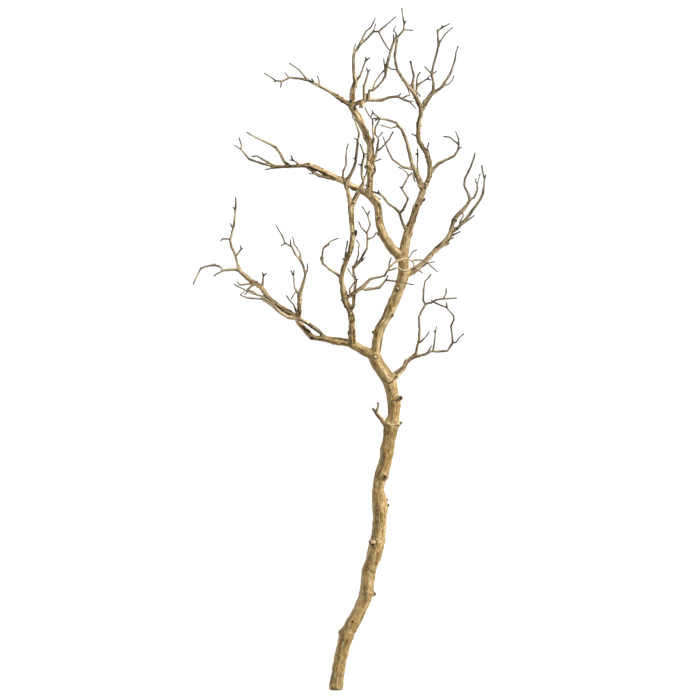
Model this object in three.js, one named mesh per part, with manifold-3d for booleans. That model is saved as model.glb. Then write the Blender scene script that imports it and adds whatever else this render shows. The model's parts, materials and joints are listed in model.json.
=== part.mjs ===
// A cut branch of manzanita with its bark gone, lying on a table.
// Millimetres, +Z up: the branch runs along +Y from its cut butt, and the table is at Z = 0.

import * as THREE from 'three';
import { mergeVertices } from 'three/addons/utils/BufferGeometryUtils.js';
import Module from 'manifold-3d';

// Driving dimensions
const LENGTH = 914; // from the cut butt to the highest twig tip, mm
const SURVEY_LENGTH = 682; // the same length in survey units
const SEAM_GAP = 0.3; // clear space where two limbs meet, mm
const JOIN_TOLERANCE = 0.14; // slivers finer than this are cleared where a twig is fused on, mm
const FLUTE_DEPTH = 0.06; // the sinewy ridges of the thick wood, as a share of its radius
const FLUTE_PITCH = 210; // length in which those ridges turn once about the wood, mm
const FLUTE_FROM = 4.5; // half width above which wood is ridged, survey units

// The branch was surveyed from straight above: x runs to the right and y runs down, in survey units.
// A waypoint is [x, y, height, half width]: the height of the axis above the table is in millimetres,
// and the half width is in survey units.
const UNIT = LENGTH / SURVEY_LENGTH;

// Sides of a limb's section, from its mean half width in survey units
const SECTIONS = [
  { from: 4.8, sides: 9 },
  { from: 3, sides: 7 },
  { from: 1.9, sides: 5 },
  { from: 0.85, sides: 4 },
  { from: 0, sides: 3 },
];

const wasm = await Module();
wasm.setup();

/** Waypoints of a twig whose heights and half widths run evenly from its foot to its tip. */
function twig(heights, widths, route) {
  const reach = [0];
  for (let i = 1; i < route.length; i += 1) {
    const step = Math.hypot(route[i][0] - route[i - 1][0], route[i][1] - route[i - 1][1]);
    reach.push(reach[i - 1] + step);
  }
  const total = reach[reach.length - 1];
  return route.map(([x, y], i) => [
    x,
    y,
    THREE.MathUtils.lerp(heights[0], heights[1], reach[i] / total),
    THREE.MathUtils.lerp(widths[0], widths[1], reach[i] / total),
  ]);
}

/** A round knot or nub: its middle as a waypoint, and its half width in survey units. */
function knot(x, y, height, halfWidth) {
  return { x, y, height, halfWidth };
}

/** The place of a waypoint in millimetres. */
function place([x, y, height]) {
  return new THREE.Vector3(x * UNIT, -y * UNIT, height);
}

/** Frames along a route of waypoints: where each section stands and the two directions it spans. */
function framesAlong(route) {
  const points = route.map(place);
  const across = new THREE.Vector3(0, 0, 1);
  return points.map((point, i) => {
    const before = points[Math.max(i - 1, 0)];
    const after = points[Math.min(i + 1, points.length - 1)];
    const along = after.clone().sub(before).normalize();
    across.addScaledVector(along, -across.dot(along)).normalize();
    return { point, along, across: across.clone(), sideways: along.clone().cross(across) };
  });
}

/** How far the sinewy ridges swell the wood at an angle about its axis and a distance along it. */
function flute(angle, distance) {
  const turn = (distance / FLUTE_PITCH) * Math.PI * 2;
  return 1 + FLUTE_DEPTH * (Math.sin(2 * angle + turn) + 0.6 * Math.sin(3 * angle - turn + 1));
}

/** The closed solid of a route from one waypoint to another, as a cylinder bent along it. */
function limbSolid(route, first = 0, last = route.length - 1, startGap = 0) {
  const frames = framesAlong(route);
  const halfWidth = route.reduce((sum, waypoint) => sum + waypoint[3], 0) / route.length;
  const { sides } = SECTIONS.find((section) => halfWidth >= section.from);
  const corner = Math.sqrt((2 * Math.PI) / (sides * Math.sin((2 * Math.PI) / sides)));
  const geometry = new THREE.CylinderGeometry(1, 1, 1, sides, last - first);
  const position = geometry.getAttribute('position');
  const vertex = new THREE.Vector3();
  for (let i = 0; i < position.count; i += 1) {
    vertex.fromBufferAttribute(position, i);
    const step = Math.round((vertex.y + 0.5) * (last - first));
    const frame = frames[first + step];
    const angle = Math.atan2(vertex.z, vertex.x);
    const ridges = halfWidth > FLUTE_FROM ? flute(angle, frame.point.y) : 1;
    const radius = Math.hypot(vertex.x, vertex.z) * route[first + step][3] * UNIT * corner * ridges;
    vertex.copy(frame.point);
    vertex.addScaledVector(frame.across, Math.sin(angle) * radius);
    vertex.addScaledVector(frame.sideways, Math.cos(angle) * radius);
    if (step === 0) vertex.addScaledVector(frame.along, startGap);
    position.setXYZ(i, vertex.x, vertex.y, vertex.z);
  }
  return solidOf(geometry);
}

/** The closed solid of a knot. */
function knotSolid({ x, y, height, halfWidth }) {
  const geometry = new THREE.SphereGeometry(halfWidth * UNIT, 5, 4);
  geometry.translate(x * UNIT, -y * UNIT, height);
  return solidOf(geometry);
}

/** A boolean solid from a closed three.js geometry. */
function solidOf(geometry) {
  geometry.deleteAttribute('normal');
  geometry.deleteAttribute('uv');
  const merged = mergeVertices(geometry, 1e-4);
  const vertProperties = new Float32Array(merged.getAttribute('position').array);
  const triVerts = new Uint32Array(merged.getIndex().array);
  return new wasm.Manifold(new wasm.Mesh({ numProp: 3, vertProperties, triVerts }));
}

// Every limb has a stem and the twigs and knots fused to it. A limb that grows from another names it in
// `from`, and `collar` is the waypoint of its stem where the other limb's collar ends and it begins.
const limbs = {};

// The trunk, from the cut butt to the first big fork
limbs.trunk = {
  stem: [
    [336.2, 690, 9.6, 6.6], [336.2, 687, 9.7, 7.1], [337.1, 680, 9.8, 6.8], [338.9, 665, 10.2, 6.6],
    [342.2, 650, 11, 6.8], [345, 640, 11.6, 7], [347.4, 632, 12.2, 7.1], [354.3, 620, 13.2, 6.7],
    [359.5, 610, 14.2, 6.4], [364, 600, 15, 6.2], [366.8, 590, 15.8, 6.2], [367.7, 580, 16.6, 6.3],
    [369.6, 569, 17.5, 6.8], [373, 560, 18.2, 6.9], [375.7, 550, 19, 7.4], [378, 540, 19.8, 7.4],
    [379, 530, 20.6, 7.1], [379.7, 520, 21.4, 7.2], [380, 510, 22.2, 7.8], [379, 500, 23, 7.5],
    [377.8, 490, 24, 6.1], [379.2, 480, 25, 6.3], [382, 473, 26, 6.8], [385.6, 460, 27.4, 6.3],
    [387, 450, 28.8, 6.6], [389, 440, 30, 5.9], [390.5, 430, 31.2, 6.5], [391.5, 424, 32, 7],
    [393.8, 415, 33, 5.3], [394.5, 405, 34.2, 6.3], [393.5, 398, 35.2, 6], [391.5, 390, 36.4, 6.1],
    [388.8, 380, 38, 6.9], [382, 370, 39.6, 6.7], [375.7, 360.4, 41, 7], [373.4, 352, 42, 6.2],
  ],
  twigs: [
    twig([16, 17], [5.4, 1], [[367, 592], [372.5, 592.6], [376.4, 594.4]]),
    twig([17, 17.5], [3.6, 1.6], [[370, 570], [374.8, 572.5]]),
    twig([19, 33], [4.2, 3.1], [[375, 545], [372.5, 542]]),
    twig([22.5, 23], [4, 1.2], [[381, 503], [386.5, 505], [389.5, 504.6]]),
    twig([22.5, 24], [3.2, 0.9], [[381, 505], [388.3, 498.8]]),
    twig([26, 28], [3, 1.7], [[383, 477], [388.6, 477]]),
    twig([31, 32], [3, 1.3], [[392, 429], [397.5, 425.8], [402, 422]]),
    twig([35, 37], [2.8, 1.8], [[393.5, 401], [398, 398.8], [402.5, 397.3]]),
    twig([32, 40], [3, 1.2], [[389.5, 427], [385, 424], [378, 415], [372.3, 408]]),
    twig([37.5, 43], [1.2, 0.9], [[376.4, 412.9], [377.8, 407], [378, 402.5]]),
  ],
  knots: [
    knot(341.2, 632.5, 12.5, 3.2), knot(384.6, 477, 31.5, 2.8), knot(375.5, 356.5, 45.6, 3.4),
  ],
};

// The thin spray low on the right of the first fork, and its outer half, which rests on the table
limbs.right_spur = {
  from: 'trunk',
  collar: 2,
  stem: [
    [389.5, 380, 38, 3.6], [395, 376, 35, 3.4], [399, 372.5, 32, 2.8], [404, 367, 28, 2.3],
    [406.5, 361.5, 24, 2], [412, 357.6, 19.5, 1.7], [416, 353.5, 18, 1.4], [417.3, 346, 17, 1.2],
    [419, 340, 16, 1.2], [419.5, 330, 15, 1.1], [419, 317, 14, 1.1], [421.5, 311, 13.5, 1.1],
    [425.3, 305, 13, 1.1], [423.2, 300.5, 13, 1], [423.5, 290, 13, 0.9], [425, 281, 13, 0.8],
    [428.5, 278, 12.5, 0.7], [431.3, 273.8, 12, 0.6],
  ],
  twigs: [
    twig([13, 20], [1.1, 0.6], [
      [424.5, 305.3], [428, 303.2], [431.5, 302.8], [436, 299.8], [443, 298.7], [449, 298.6], [457, 298],
    ]),
    twig([17.5, 22], [0.8, 0.5], [[443.5, 298.6], [446.2, 293], [446, 288]]),
    twig([16.5, 24], [0.9, 0.5], [[418.5, 343], [421.5, 341], [426, 336.5], [429.3, 331.3]]),
  ],
};
limbs.right_spur_outer = {
  from: 'right_spur',
  collar: 2,
  stem: [
    [412, 357.6, 19.5, 1.5], [416, 356.4, 17.5, 1.4], [421, 355.3, 14.5, 1.2], [426, 354, 12, 1.1],
    [431, 351.2, 9, 1.1], [437, 351.6, 6, 1], [443, 351, 3.6, 1], [447.5, 350.8, 2, 1],
    [450, 347, 1.5, 1], [452.7, 342.8, 1.5, 1], [452, 334, 3, 0.9], [451, 326, 4, 0.9],
    [454, 319.5, 5, 0.9], [453.4, 315.5, 5.4, 0.8], [446.5, 307.5, 6.4, 0.8], [440, 305, 7, 0.7],
    [433.5, 302, 7.6, 0.7],
  ],
  twigs: [
    twig([11.5, 16], [0.9, 0.5], [[426.5, 353.7], [430, 348.5], [431.5, 345.3]]),
    twig([8, 22], [0.9, 0.5], [[433, 351.2], [434.3, 343], [435.2, 334], [436.5, 326]]),
    twig([1.5, 0.8], [0.9, 0.55], [[452.5, 343], [456.5, 342], [459, 338], [464, 333.5]]),
    twig([6.4, 9], [0.8, 0.6], [[447.2, 308.2], [446.2, 302]]),
  ],
};

// The left limb, from the first fork to where it bends away
limbs.left_limb = {
  from: 'trunk',
  collar: 2,
  stem: [
    [377, 357, 41, 4.8], [369, 353, 42.5, 4.6], [363, 350.5, 43.5, 4.4], [357, 346.8, 44.5, 4.3],
    [350, 343.2, 45, 4.2], [340, 341.3, 44, 4], [330, 339.6, 42, 3.3], [323, 338.2, 40, 3.2],
    [318, 338.4, 38, 2.7], [312, 337, 36, 2.6], [306, 331.2, 33, 2.5], [302, 326.5, 31, 2.5],
    [299, 322.4, 29, 2.6], [296.8, 318.2, 27.5, 2.7], [292, 314.5, 25, 2.6],
  ],
  twigs: [],
};
limbs.left_outer_limb = {
  from: 'left_limb',
  collar: 1,
  stem: [
    [292, 314.5, 25, 2.6], [286, 311, 22.5, 2.5], [280, 307, 20, 2.5], [275, 303.5, 18, 2.5],
    [270, 299.5, 16, 2.5], [266, 294.5, 14, 2.5], [263.5, 290.5, 12.5, 2.5], [261, 286.7, 11, 2.5],
    [256, 283.6, 9, 2.4], [250, 280, 7, 2.2], [244, 275, 4.6, 2], [240.5, 271.4, 2.6, 1.9],
    [238.3, 266.5, 2.4, 1.4],
  ],
  twigs: [
    twig([11, 18], [1.2, 0.6], [[262, 287.5], [263.1, 280], [263.4, 275.8], [262.3, 272.3]]),
    twig([8.5, 4], [1, 0.6], [[255, 283], [248, 284], [239.5, 285], [237.2, 281.3]]),
    twig([8.5, 4], [1, 0.6], [[256, 283.6], [251, 286.6], [247.5, 289.6], [246.5, 293.5], [244, 294.5]]),
  ],
};
limbs.left_upper_tip = {
  from: 'left_outer_limb',
  collar: 1,
  stem: [
    [238.3, 266.5, 2.4, 1.4], [236, 258, 3, 1.2], [234.3, 253, 3.6, 1.2], [231, 245.4, 4.6, 1.1],
    [230.3, 240, 5.2, 1.1], [232, 232.5, 6, 1], [234, 225.5, 7, 1], [235.3, 212, 8.6, 0.9],
    [236, 202, 10, 0.8], [235.6, 196.7, 11, 0.6],
  ],
  twigs: [
    twig([3.2, 7], [0.9, 0.6], [[235.6, 256.5], [237.6, 254.2], [241.3, 248.8], [240.3, 245.3]]),
    twig([5.2, 5], [0.9, 0.6], [[230.5, 239.3], [226, 238.7], [222.3, 238.9], [220.5, 241.3]]),
    twig([6.8, 9], [0.8, 0.5], [[233.5, 228.5], [231.8, 226.5], [230.3, 223.2]]),
  ],
};
limbs.left_lower_tip = {
  from: 'left_outer_limb',
  collar: 2,
  stem: [
    [242, 272.5, 3, 1.4], [238, 270, 2.4, 1.3], [234, 269.3, 2, 1.2], [229, 269.8, 1.7, 1.1],
    [223, 270.5, 1.5, 1.1], [221, 267.3, 1.5, 0.9], [217, 265.6, 1.4, 0.9], [211, 265.3, 1.3, 0.8],
    [205, 266.5, 1.2, 0.8], [200.5, 269, 1.1, 0.8], [197, 276, 1, 0.7], [193, 285, 0.8, 0.6],
  ],
  twigs: [
    twig([1.5, 1], [0.9, 0.6], [[223.8, 270.3], [217, 273.8], [213.3, 276.2]]),
  ],
};

// The thin branch that passes in front of the left limb
limbs.left_front_branch = {
  from: 'left_limb',
  collar: 1,
  stem: [
    [324.5, 337.6, 41, 1.9], [319.6, 332, 42.5, 1.8], [314, 327.8, 43, 1.7], [308, 323.6, 43, 1.7],
    [302, 320, 42, 1.6], [296, 318.7, 40.5, 1.5], [288, 317.2, 37, 1.5], [280, 312.2, 33, 1.5],
    [274, 307.2, 30, 1.2], [268, 303.2, 27, 1], [261.5, 299, 24, 0.9], [252, 298.4, 19, 0.8],
    [246.5, 297.6, 16, 0.8], [240, 295, 12, 0.7], [245, 290.8, 10, 0.5],
  ],
  twigs: [
    twig([33.5, 16], [1.3, 0.5], [
      [281, 312.5], [272, 303], [263, 296.6], [256, 294.6], [250, 292.3], [239, 287], [233.8, 284.2],
    ]),
    twig([25, 22.5], [0.7, 0.5], [[257, 294.9], [253.5, 291.4], [248.5, 289.9]]),
  ],
};

// The inner branch on the left, which stands up from the left limb
limbs.left_inner_branch = {
  from: 'left_limb',
  collar: 2,
  stem: [
    [297.6, 320, 28.5, 2.2], [298.6, 315.5, 30, 2.1], [299.4, 311.5, 32.5, 2], [299, 307, 36, 2],
    [299.7, 302, 41, 1.9], [299.6, 296, 46, 1.9], [301, 291, 50, 1.7], [302.5, 286, 54, 1.5],
    [304.2, 280, 58, 1.3], [305.6, 274.5, 62, 1.2], [303.2, 265.5, 68, 1.1], [300, 259.5, 72, 1.1],
    [295.5, 254.5, 76, 1], [292, 247.3, 80, 0.9], [285, 243, 83, 0.8], [282.7, 236.5, 86, 0.7],
    [276, 225.3, 90, 0.5],
  ],
  twigs: [
    twig([72, 82], [0.9, 0.5], [[300.6, 260.4], [300.3, 253], [294.5, 244.6], [292.7, 236.7]]),
    twig([62, 68], [0.9, 0.6], [[305.2, 276], [307.8, 269.5], [307.2, 263.5]]),
    twig([83, 84], [0.7, 0.5], [[285.8, 243.2], [281, 246.3]]),
    twig([80.5, 84], [0.8, 0.5], [[291, 246], [290.3, 239.2]]),
    twig([46.5, 57], [1, 0.6], [[299.6, 296], [294.7, 287.5], [293.7, 276], [290.7, 270.2]]),
    twig([55.5, 58], [0.7, 0.6], [[293.7, 276.5], [294.1, 270.2]]),
    twig([48, 49], [0.7, 0.5], [[296.6, 291], [294, 294.5], [291, 299.7]]),
  ],
};
limbs.left_limb.twigs.push(
  twig([28, 37], [1.1, 0.5], [[297, 318.5], [295.7, 310], [293.5, 304.6], [289, 299.6], [286, 295]]),
);

// The centre limb, which stands out of the left limb towards the viewer
limbs.centre_limb = {
  from: 'left_limb',
  collar: 1,
  stem: [
    [352.2, 344, 46, 3.8], [351.9, 335.5, 53, 3.4], [351.9, 330, 57, 3], [351.7, 320, 64, 2.8],
    [350.6, 313, 69, 2.8], [348.5, 307, 73, 2.9], [346, 302, 76, 3], [344.5, 297, 79, 3.2],
    [343.3, 291, 83, 2.8], [342.3, 286, 86, 2.6], [341.2, 279.5, 90, 2.3], [342.5, 272, 95, 2.1],
  ],
  twigs: [
    twig([89, 104], [1.3, 0.5], [
      [341.5, 279.5], [337, 274.3], [330, 269.6], [323, 264], [322.3, 256], [323.3, 248],
      [330.5, 241.8], [339, 238.2],
    ]),
    twig([95.5, 97], [0.9, 0.6], [[323.3, 265], [321, 260], [320.3, 257]]),
    twig([99.5, 101], [0.6, 0.5], [[323.2, 249], [330, 244.5]]),
  ],
  knots: [
    knot(349.6, 332, 55, 2), knot(342.2, 300, 77, 1.7),
  ],
};
limbs.centre_leader = {
  from: 'centre_limb',
  collar: 1,
  stem: [
    [342.5, 272, 95, 2.1], [344.5, 265.5, 99, 2.1], [346.6, 259.5, 102, 2.4], [350, 252, 107, 2.2],
    [351.2, 247, 110, 2.2], [352.2, 240, 114, 2.2], [352.6, 232, 118, 2.1], [351.4, 220, 124, 2.2],
    [351, 210, 129, 2.5], [350.3, 204, 132, 2.2], [349.3, 198.5, 134, 1.9], [347.3, 190.5, 138, 1.8],
    [345.6, 184, 140, 2], [349.3, 177.5, 144, 1.6], [353.3, 170.5, 148, 1.4], [355.6, 163, 151, 1.3],
    [356.6, 153, 155, 1.2], [358, 142, 158, 1.1], [359, 134, 160, 1], [355.5, 123.5, 162, 0.8],
    [351.8, 116.6, 163, 0.6],
  ],
  twigs: [
    twig([101, 108], [0.9, 0.6], [[346, 261], [345.5, 255], [346.2, 249], [347.8, 241]]),
    twig([115, 120], [1, 0.7], [[353, 238.5], [356.3, 235], [356.5, 230.5]]),
    twig([140, 152], [1.1, 0.6], [
      [345.8, 184.5], [343, 177.5], [343.4, 172], [346.2, 165.5], [346, 157], [346.7, 150], [348.5, 144.4],
    ]),
  ],
  knots: [knot(346.3, 183.4, 140.6, 2.5)],
};
limbs.centre_right_top = {
  from: 'centre_leader',
  collar: 1,
  stem: [
    [351, 207.5, 130.5, 2.1], [354.3, 201, 134, 2.1], [357.5, 194.5, 137, 2], [361.6, 188.5, 139.5, 2.2],
    [363.4, 182, 142, 1.3], [361.5, 175.5, 144, 1.2], [361.8, 167, 147, 1.2], [364, 157, 150, 1.1],
    [363.3, 153.5, 151, 1], [360, 144.8, 153, 0.6],
  ],
  twigs: [
    twig([142.5, 146], [0.9, 0.6], [[363.3, 181.5], [366, 175], [367, 170.5]]),
  ],
  knots: [knot(361.3, 189, 140.5, 2.7)],
};

// The thin stem beside the centre limb
limbs.centre_side_stem = {
  from: 'centre_limb',
  collar: 1,
  stem: [
    [350, 311.5, 70.5, 1.9], [353.6, 304.5, 73.5, 1.6], [354, 298, 75.5, 1.4], [354.4, 291, 78, 1.3],
    [355.8, 282, 83, 1.2], [353.6, 273.5, 89, 1.1], [353.4, 268.5, 91.5, 1.1], [359, 262.7, 94, 1.1],
    [363.5, 254.5, 96.5, 1.1], [367, 248.5, 98, 1], [367.7, 240, 101, 1], [367, 233, 103, 0.9],
    [370.3, 225, 106, 0.8], [367.3, 215.3, 109, 0.7], [361.7, 206.3, 112, 0.5],
  ],
  twigs: [
    twig([91.5, 105], [0.9, 0.5], [
      [353.5, 268.8], [356.2, 262.5], [358.6, 254], [358.2, 250], [359.3, 244.7], [356, 239.8],
    ]),
    twig([103, 107], [0.8, 0.5], [[367, 234], [361, 227.5], [358.3, 221.3]]),
    twig([94, 97], [0.7, 0.5], [[359, 262.9], [362.3, 260.9], [365.3, 257.3]]),
    twig([101, 103], [0.8, 0.6], [[367.4, 240.2], [374.2, 236.6], [376.5, 232]]),
  ],
};

// The front branch, which crosses the right limb nearest the viewer
limbs.front_branch = {
  from: 'centre_limb',
  collar: 1,
  stem: [
    [343.8, 298.8, 79, 2.2], [349.2, 296.8, 83, 1.8], [355, 292.6, 87, 1.8], [362, 287.6, 92, 1.7],
    [370.5, 279.2, 97, 1.3], [375, 278.2, 99, 1.2], [384.5, 276, 102, 1.1], [389, 267.8, 105, 1],
    [396, 261.7, 106, 1], [405, 258.7, 104, 0.9], [412.4, 261.5, 100, 0.8], [414.6, 267.5, 97, 0.8],
    [422.5, 273.6, 93, 0.5],
  ],
  twigs: [
    twig([105, 109], [0.9, 0.5], [[389, 268], [389.2, 263], [391.3, 257.5]]),
    twig([104, 106], [0.9, 0.6], [
      [387.3, 271], [391, 270], [398, 267.8], [402.5, 270.8], [406, 271.6], [415.5, 268.6],
    ]),
    twig([103, 107], [0.7, 0.5], [[408, 259.2], [412.6, 252], [417.2, 249.9]]),
    twig([101, 92], [0.8, 0.5], [[411, 260.8], [421, 260.2], [427.5, 263.6], [437.7, 272.3]]),
    twig([97, 100], [0.6, 0.5], [[427, 263.4], [434.7, 261.9]]),
    twig([91.5, 100], [1.4, 0.5], [
      [361.5, 288], [366, 289.8], [375, 288.3], [379.5, 287.9], [385.7, 280.2], [397, 281.8], [413.7, 285],
    ]),
    twig([96, 99], [0.7, 0.6], [[385.4, 280.6], [388.2, 275.2]]),
    twig([83.5, 103], [0.9, 0.5], [
      [350.2, 296], [349.5, 290], [355.3, 281], [352, 275.5], [347.4, 268.4],
    ]),
  ],
};

// The right limb, which carries the crown
limbs.right_limb = {
  from: 'trunk',
  collar: 1,
  stem: [
    [375, 356, 42, 5.2], [376.5, 345, 43, 5.1], [377.6, 338, 44, 5.1], [379, 330, 45, 5],
    [384.7, 320.5, 46, 4.6], [389.8, 310, 47.5, 4.9], [394.1, 300, 49, 5.1], [398.8, 290, 50.5, 4.9],
    [402.1, 280, 52, 5.1], [403.8, 270, 53, 5.3], [403.6, 261, 54, 5.1], [402.8, 256, 54.5, 4.7],
  ],
  twigs: [],
  knots: [knot(391, 315, 47, 2.8), knot(397.5, 288.5, 55, 2.8)],
};

// The outer limb on the right, which comes down to the table
limbs.outer_limb = {
  from: 'right_limb',
  collar: 2,
  stem: [
    [403, 276, 52, 3.4], [408, 273.5, 49, 3.2], [413, 271, 46, 3], [418.5, 267.3, 42, 2.8],
    [424, 263, 38, 2.7], [428, 258, 35, 2.6], [433, 252.4, 31, 2.5], [438, 248, 28, 2.5],
    [443, 243.8, 25, 2.7], [446.8, 239.6, 23, 2.8], [449.4, 235, 21, 2.2], [450.6, 230.6, 19, 1.9],
  ],
  twigs: [
    twig([24.5, 23.5], [2, 1.2], [[443.5, 245], [449.2, 242.8]]),
    twig([21.5, 22], [0.8, 0.6], [[449, 240], [453.8, 237.2]]),
    twig([20.5, 18], [0.9, 0.6], [[449.6, 236], [454, 234.6], [461, 231.3]]),
  ],
};
limbs.outer_limb_inner_prong = {
  from: 'outer_limb',
  collar: 1,
  stem: [
    [450.6, 230.6, 19, 1.9], [452.4, 225, 16.5, 1.7], [454.6, 219, 14.5, 1.9], [457.6, 215.3, 12.8, 1.8],
    [463, 210, 10, 1.6], [467.5, 204.5, 8.2, 1.4], [469.8, 199.6, 7, 1.4], [468, 193.5, 6, 1.1],
    [464.3, 186, 5, 1.1], [464.8, 179, 4.2, 1.1], [470.3, 168, 3.2, 1], [474, 158, 2.4, 0.8],
    [475.2, 152.4, 2, 0.6],
  ],
  twigs: [
    twig([7, 3.4], [1.1, 0.6], [
      [469.6, 200], [474.4, 197.4], [477.6, 189], [477.2, 184.2], [475.2, 180.4], [476.6, 178.2],
    ]),
    twig([4.2, 3.4], [0.6, 0.5], [[477.3, 185], [478.6, 179], [480.2, 173.3]]),
    twig([11, 13.5], [0.8, 0.5], [[461.8, 211.3], [463.4, 216], [459, 223]]),
  ],
};
limbs.outer_limb_outer_prong = {
  from: 'outer_limb',
  collar: 1,
  stem: [
    [449.8, 233, 20, 1.6], [455.4, 229.2, 17.8, 1.6], [458.4, 227.4, 16, 1.5], [463, 222.5, 13.5, 1.5],
    [469.5, 214.8, 10.5, 1.4], [474.8, 207.2, 8, 1.3], [480, 200, 5.4, 1.2], [482.6, 194.5, 4, 1.1],
    [484, 185, 2.4, 0.9], [484.4, 178.4, 1.6, 0.8], [482.5, 171, 1.2, 0.7], [481.8, 165, 0.9, 0.6],
  ],
  twigs: [
    twig([15, 12], [0.9, 0.6], [[460.5, 225.3], [467, 221], [474.6, 215.2]]),
    twig([1.6, 1.2], [0.7, 0.5], [[484.5, 179.4], [486.3, 174]]),
  ],
};

// The left leader of the crown, and the arm that it sends far to the left
limbs.left_leader = {
  from: 'right_limb',
  collar: 3,
  stem: [
    [403.4, 262, 54, 4.9], [400, 257, 54.5, 4.8], [396, 252.6, 55, 4.7], [390, 246, 56, 4.5],
    [384, 237, 57, 4.3], [380.6, 228, 58, 4], [378.8, 220, 58.5, 3.8], [378.5, 212, 59, 3.7],
    [377.3, 205, 59, 3.7], [373.5, 199.6, 59, 3.7], [369, 195.6, 59, 3.6], [364.5, 192.2, 58.8, 3.4],
    [358.5, 189, 58.2, 3.2],
  ],
  twigs: [twig([57, 58], [1.9, 1], [[382, 236.5], [376.2, 233.4]])],
  knots: [knot(378.3, 218.3, 62, 2.6)],
};
limbs.side_arm = {
  from: 'left_leader',
  collar: 1,
  stem: [
    [358.5, 189, 58.2, 3.2], [352, 186.8, 57.3, 3.1], [346, 183.2, 56, 3], [340, 180, 54, 2.9],
    [333, 176.6, 51.5, 2.7], [326, 173, 48.5, 2.6], [319, 169.8, 45.5, 2.6], [311, 166, 42.5, 2.5],
    [305, 165.6, 40, 2.1], [299, 166.2, 37.6, 1.8], [291, 166.4, 34.5, 1.6],
  ],
  twigs: [
    twig([53, 40.5], [1.9, 0.9], [[337, 179.2], [327, 178], [318.4, 175.8], [314, 172.4], [306, 167.2]]),
    twig([45.5, 44], [0.9, 0.5], [[317, 174.4], [308.2, 173.8]]),
    twig([37.5, 44], [1, 0.6], [[299, 166], [297.6, 163.2], [293.4, 160.6], [290.8, 155.6]]),
    twig([34.5, 24], [1.5, 0.6], [
      [291, 166.6], [284, 161.6], [280.2, 153.4], [275.5, 147.4], [270.5, 144.4],
      [256.5, 138], [246.4, 132.2],
    ]),
  ],
};
limbs.side_arm_tip = {
  from: 'side_arm',
  collar: 1,
  stem: [
    [291, 166.4, 34.5, 1.6], [284, 166.6, 32, 1.5], [278, 166.8, 29.6, 1.5], [270, 165.6, 26.5, 1.1],
    [262, 163.8, 23, 1.1], [249, 159.2, 18, 1], [241.4, 149.8, 13, 0.9], [241.4, 144.6, 12, 0.8],
    [238.8, 137, 11, 0.6],
  ],
  twigs: [
    twig([29, 21], [1.1, 0.7], [
      [277.5, 166.8], [270, 163.6], [263, 159.6], [257, 156], [252, 156.6],
    ]),
    twig([30, 24], [1, 0.6], [[281, 167.2], [271, 168.5], [264.6, 170]]),
    twig([13.4, 10], [0.8, 0.5], [[241.9, 150.4], [234.3, 145.1]]),
  ],
};

// The upper leader and what it carries at the top of the crown
limbs.upper_leader = {
  from: 'left_leader',
  collar: 1,
  stem: [
    [370.5, 197, 59.5, 3.4], [369.4, 188.5, 63, 3.3], [370.2, 178, 66, 3.1], [369.6, 168, 69.5, 3.5],
    [370, 160, 72, 3.5], [370.8, 152, 74, 3.4], [370, 145, 75.5, 3.3], [366.5, 136.5, 77, 3.3],
    [363.3, 129, 77.5, 3.2], [360.3, 122, 77.5, 3.3], [357.2, 115.5, 77.5, 3.3], [353, 109.5, 77.5, 3.4],
    [350.5, 105.5, 77.5, 3.2],
  ],
  twigs: [
    twig([71, 99], [1.4, 0.6], [
      [370.5, 165], [375.2, 158.4], [377, 150], [378.6, 139.6], [375, 134.6], [375.2, 128.4], [380, 119],
    ]),
    twig([80, 96], [0.9, 0.7], [[377, 151.5], [380, 149.8], [388.6, 140.4], [393, 132.2]]),
    twig([87, 91], [0.7, 0.5], [[377.8, 138.4], [382.8, 132.4]]),
    twig([73, 78], [0.8, 0.5], [[372.5, 162.8], [381.6, 159.1]]),
    twig([72, 72], [0.9, 0.7], [[373, 162], [374.9, 167], [375.2, 171.6], [372.5, 176]]),
    twig([75.5, 90], [1.1, 0.6], [
      [371.5, 147.5], [373.7, 140], [372.8, 130], [372.5, 120], [369.3, 116.8], [364.5, 107.5],
    ]),
  ],
  knots: [knot(366.6, 167.2, 71.4, 2.9)],
};
limbs.top_left_arm = {
  from: 'upper_leader',
  collar: 1,
  stem: [
    [352, 106.6, 77.5, 2.6], [345.5, 102.6, 76, 2.1], [338.5, 98, 74.5, 1.9], [330, 92.2, 72.5, 1.4],
    [322.5, 88.4, 70.5, 1.2], [314, 83.8, 68.5, 1.3], [308, 80.8, 67, 1.2], [300, 79.2, 65, 1],
    [290, 78, 62.5, 1], [282.4, 81.7, 60.5, 0.9], [276, 81.2, 59, 0.8], [271.5, 78.2, 57.5, 0.7],
    [264, 73.4, 55.5, 0.6],
  ],
  twigs: [
    twig([70, 75], [0.8, 0.5], [[320, 86.8], [319, 81], [317.4, 76.3]]),
    twig([68.5, 72], [0.9, 0.6], [[314.2, 83.8], [311.6, 79]]),
    twig([66.5, 73], [0.9, 0.5], [[308, 80.8], [303, 75], [299.4, 70.8], [295, 67.5], [288.8, 63.4]]),
    twig([62, 65], [0.7, 0.5], [[289, 78.2], [284.8, 73.1]]),
    twig([60, 58], [0.7, 0.6], [[281.7, 81.6], [280.7, 88.4]]),
  ],
};
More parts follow.
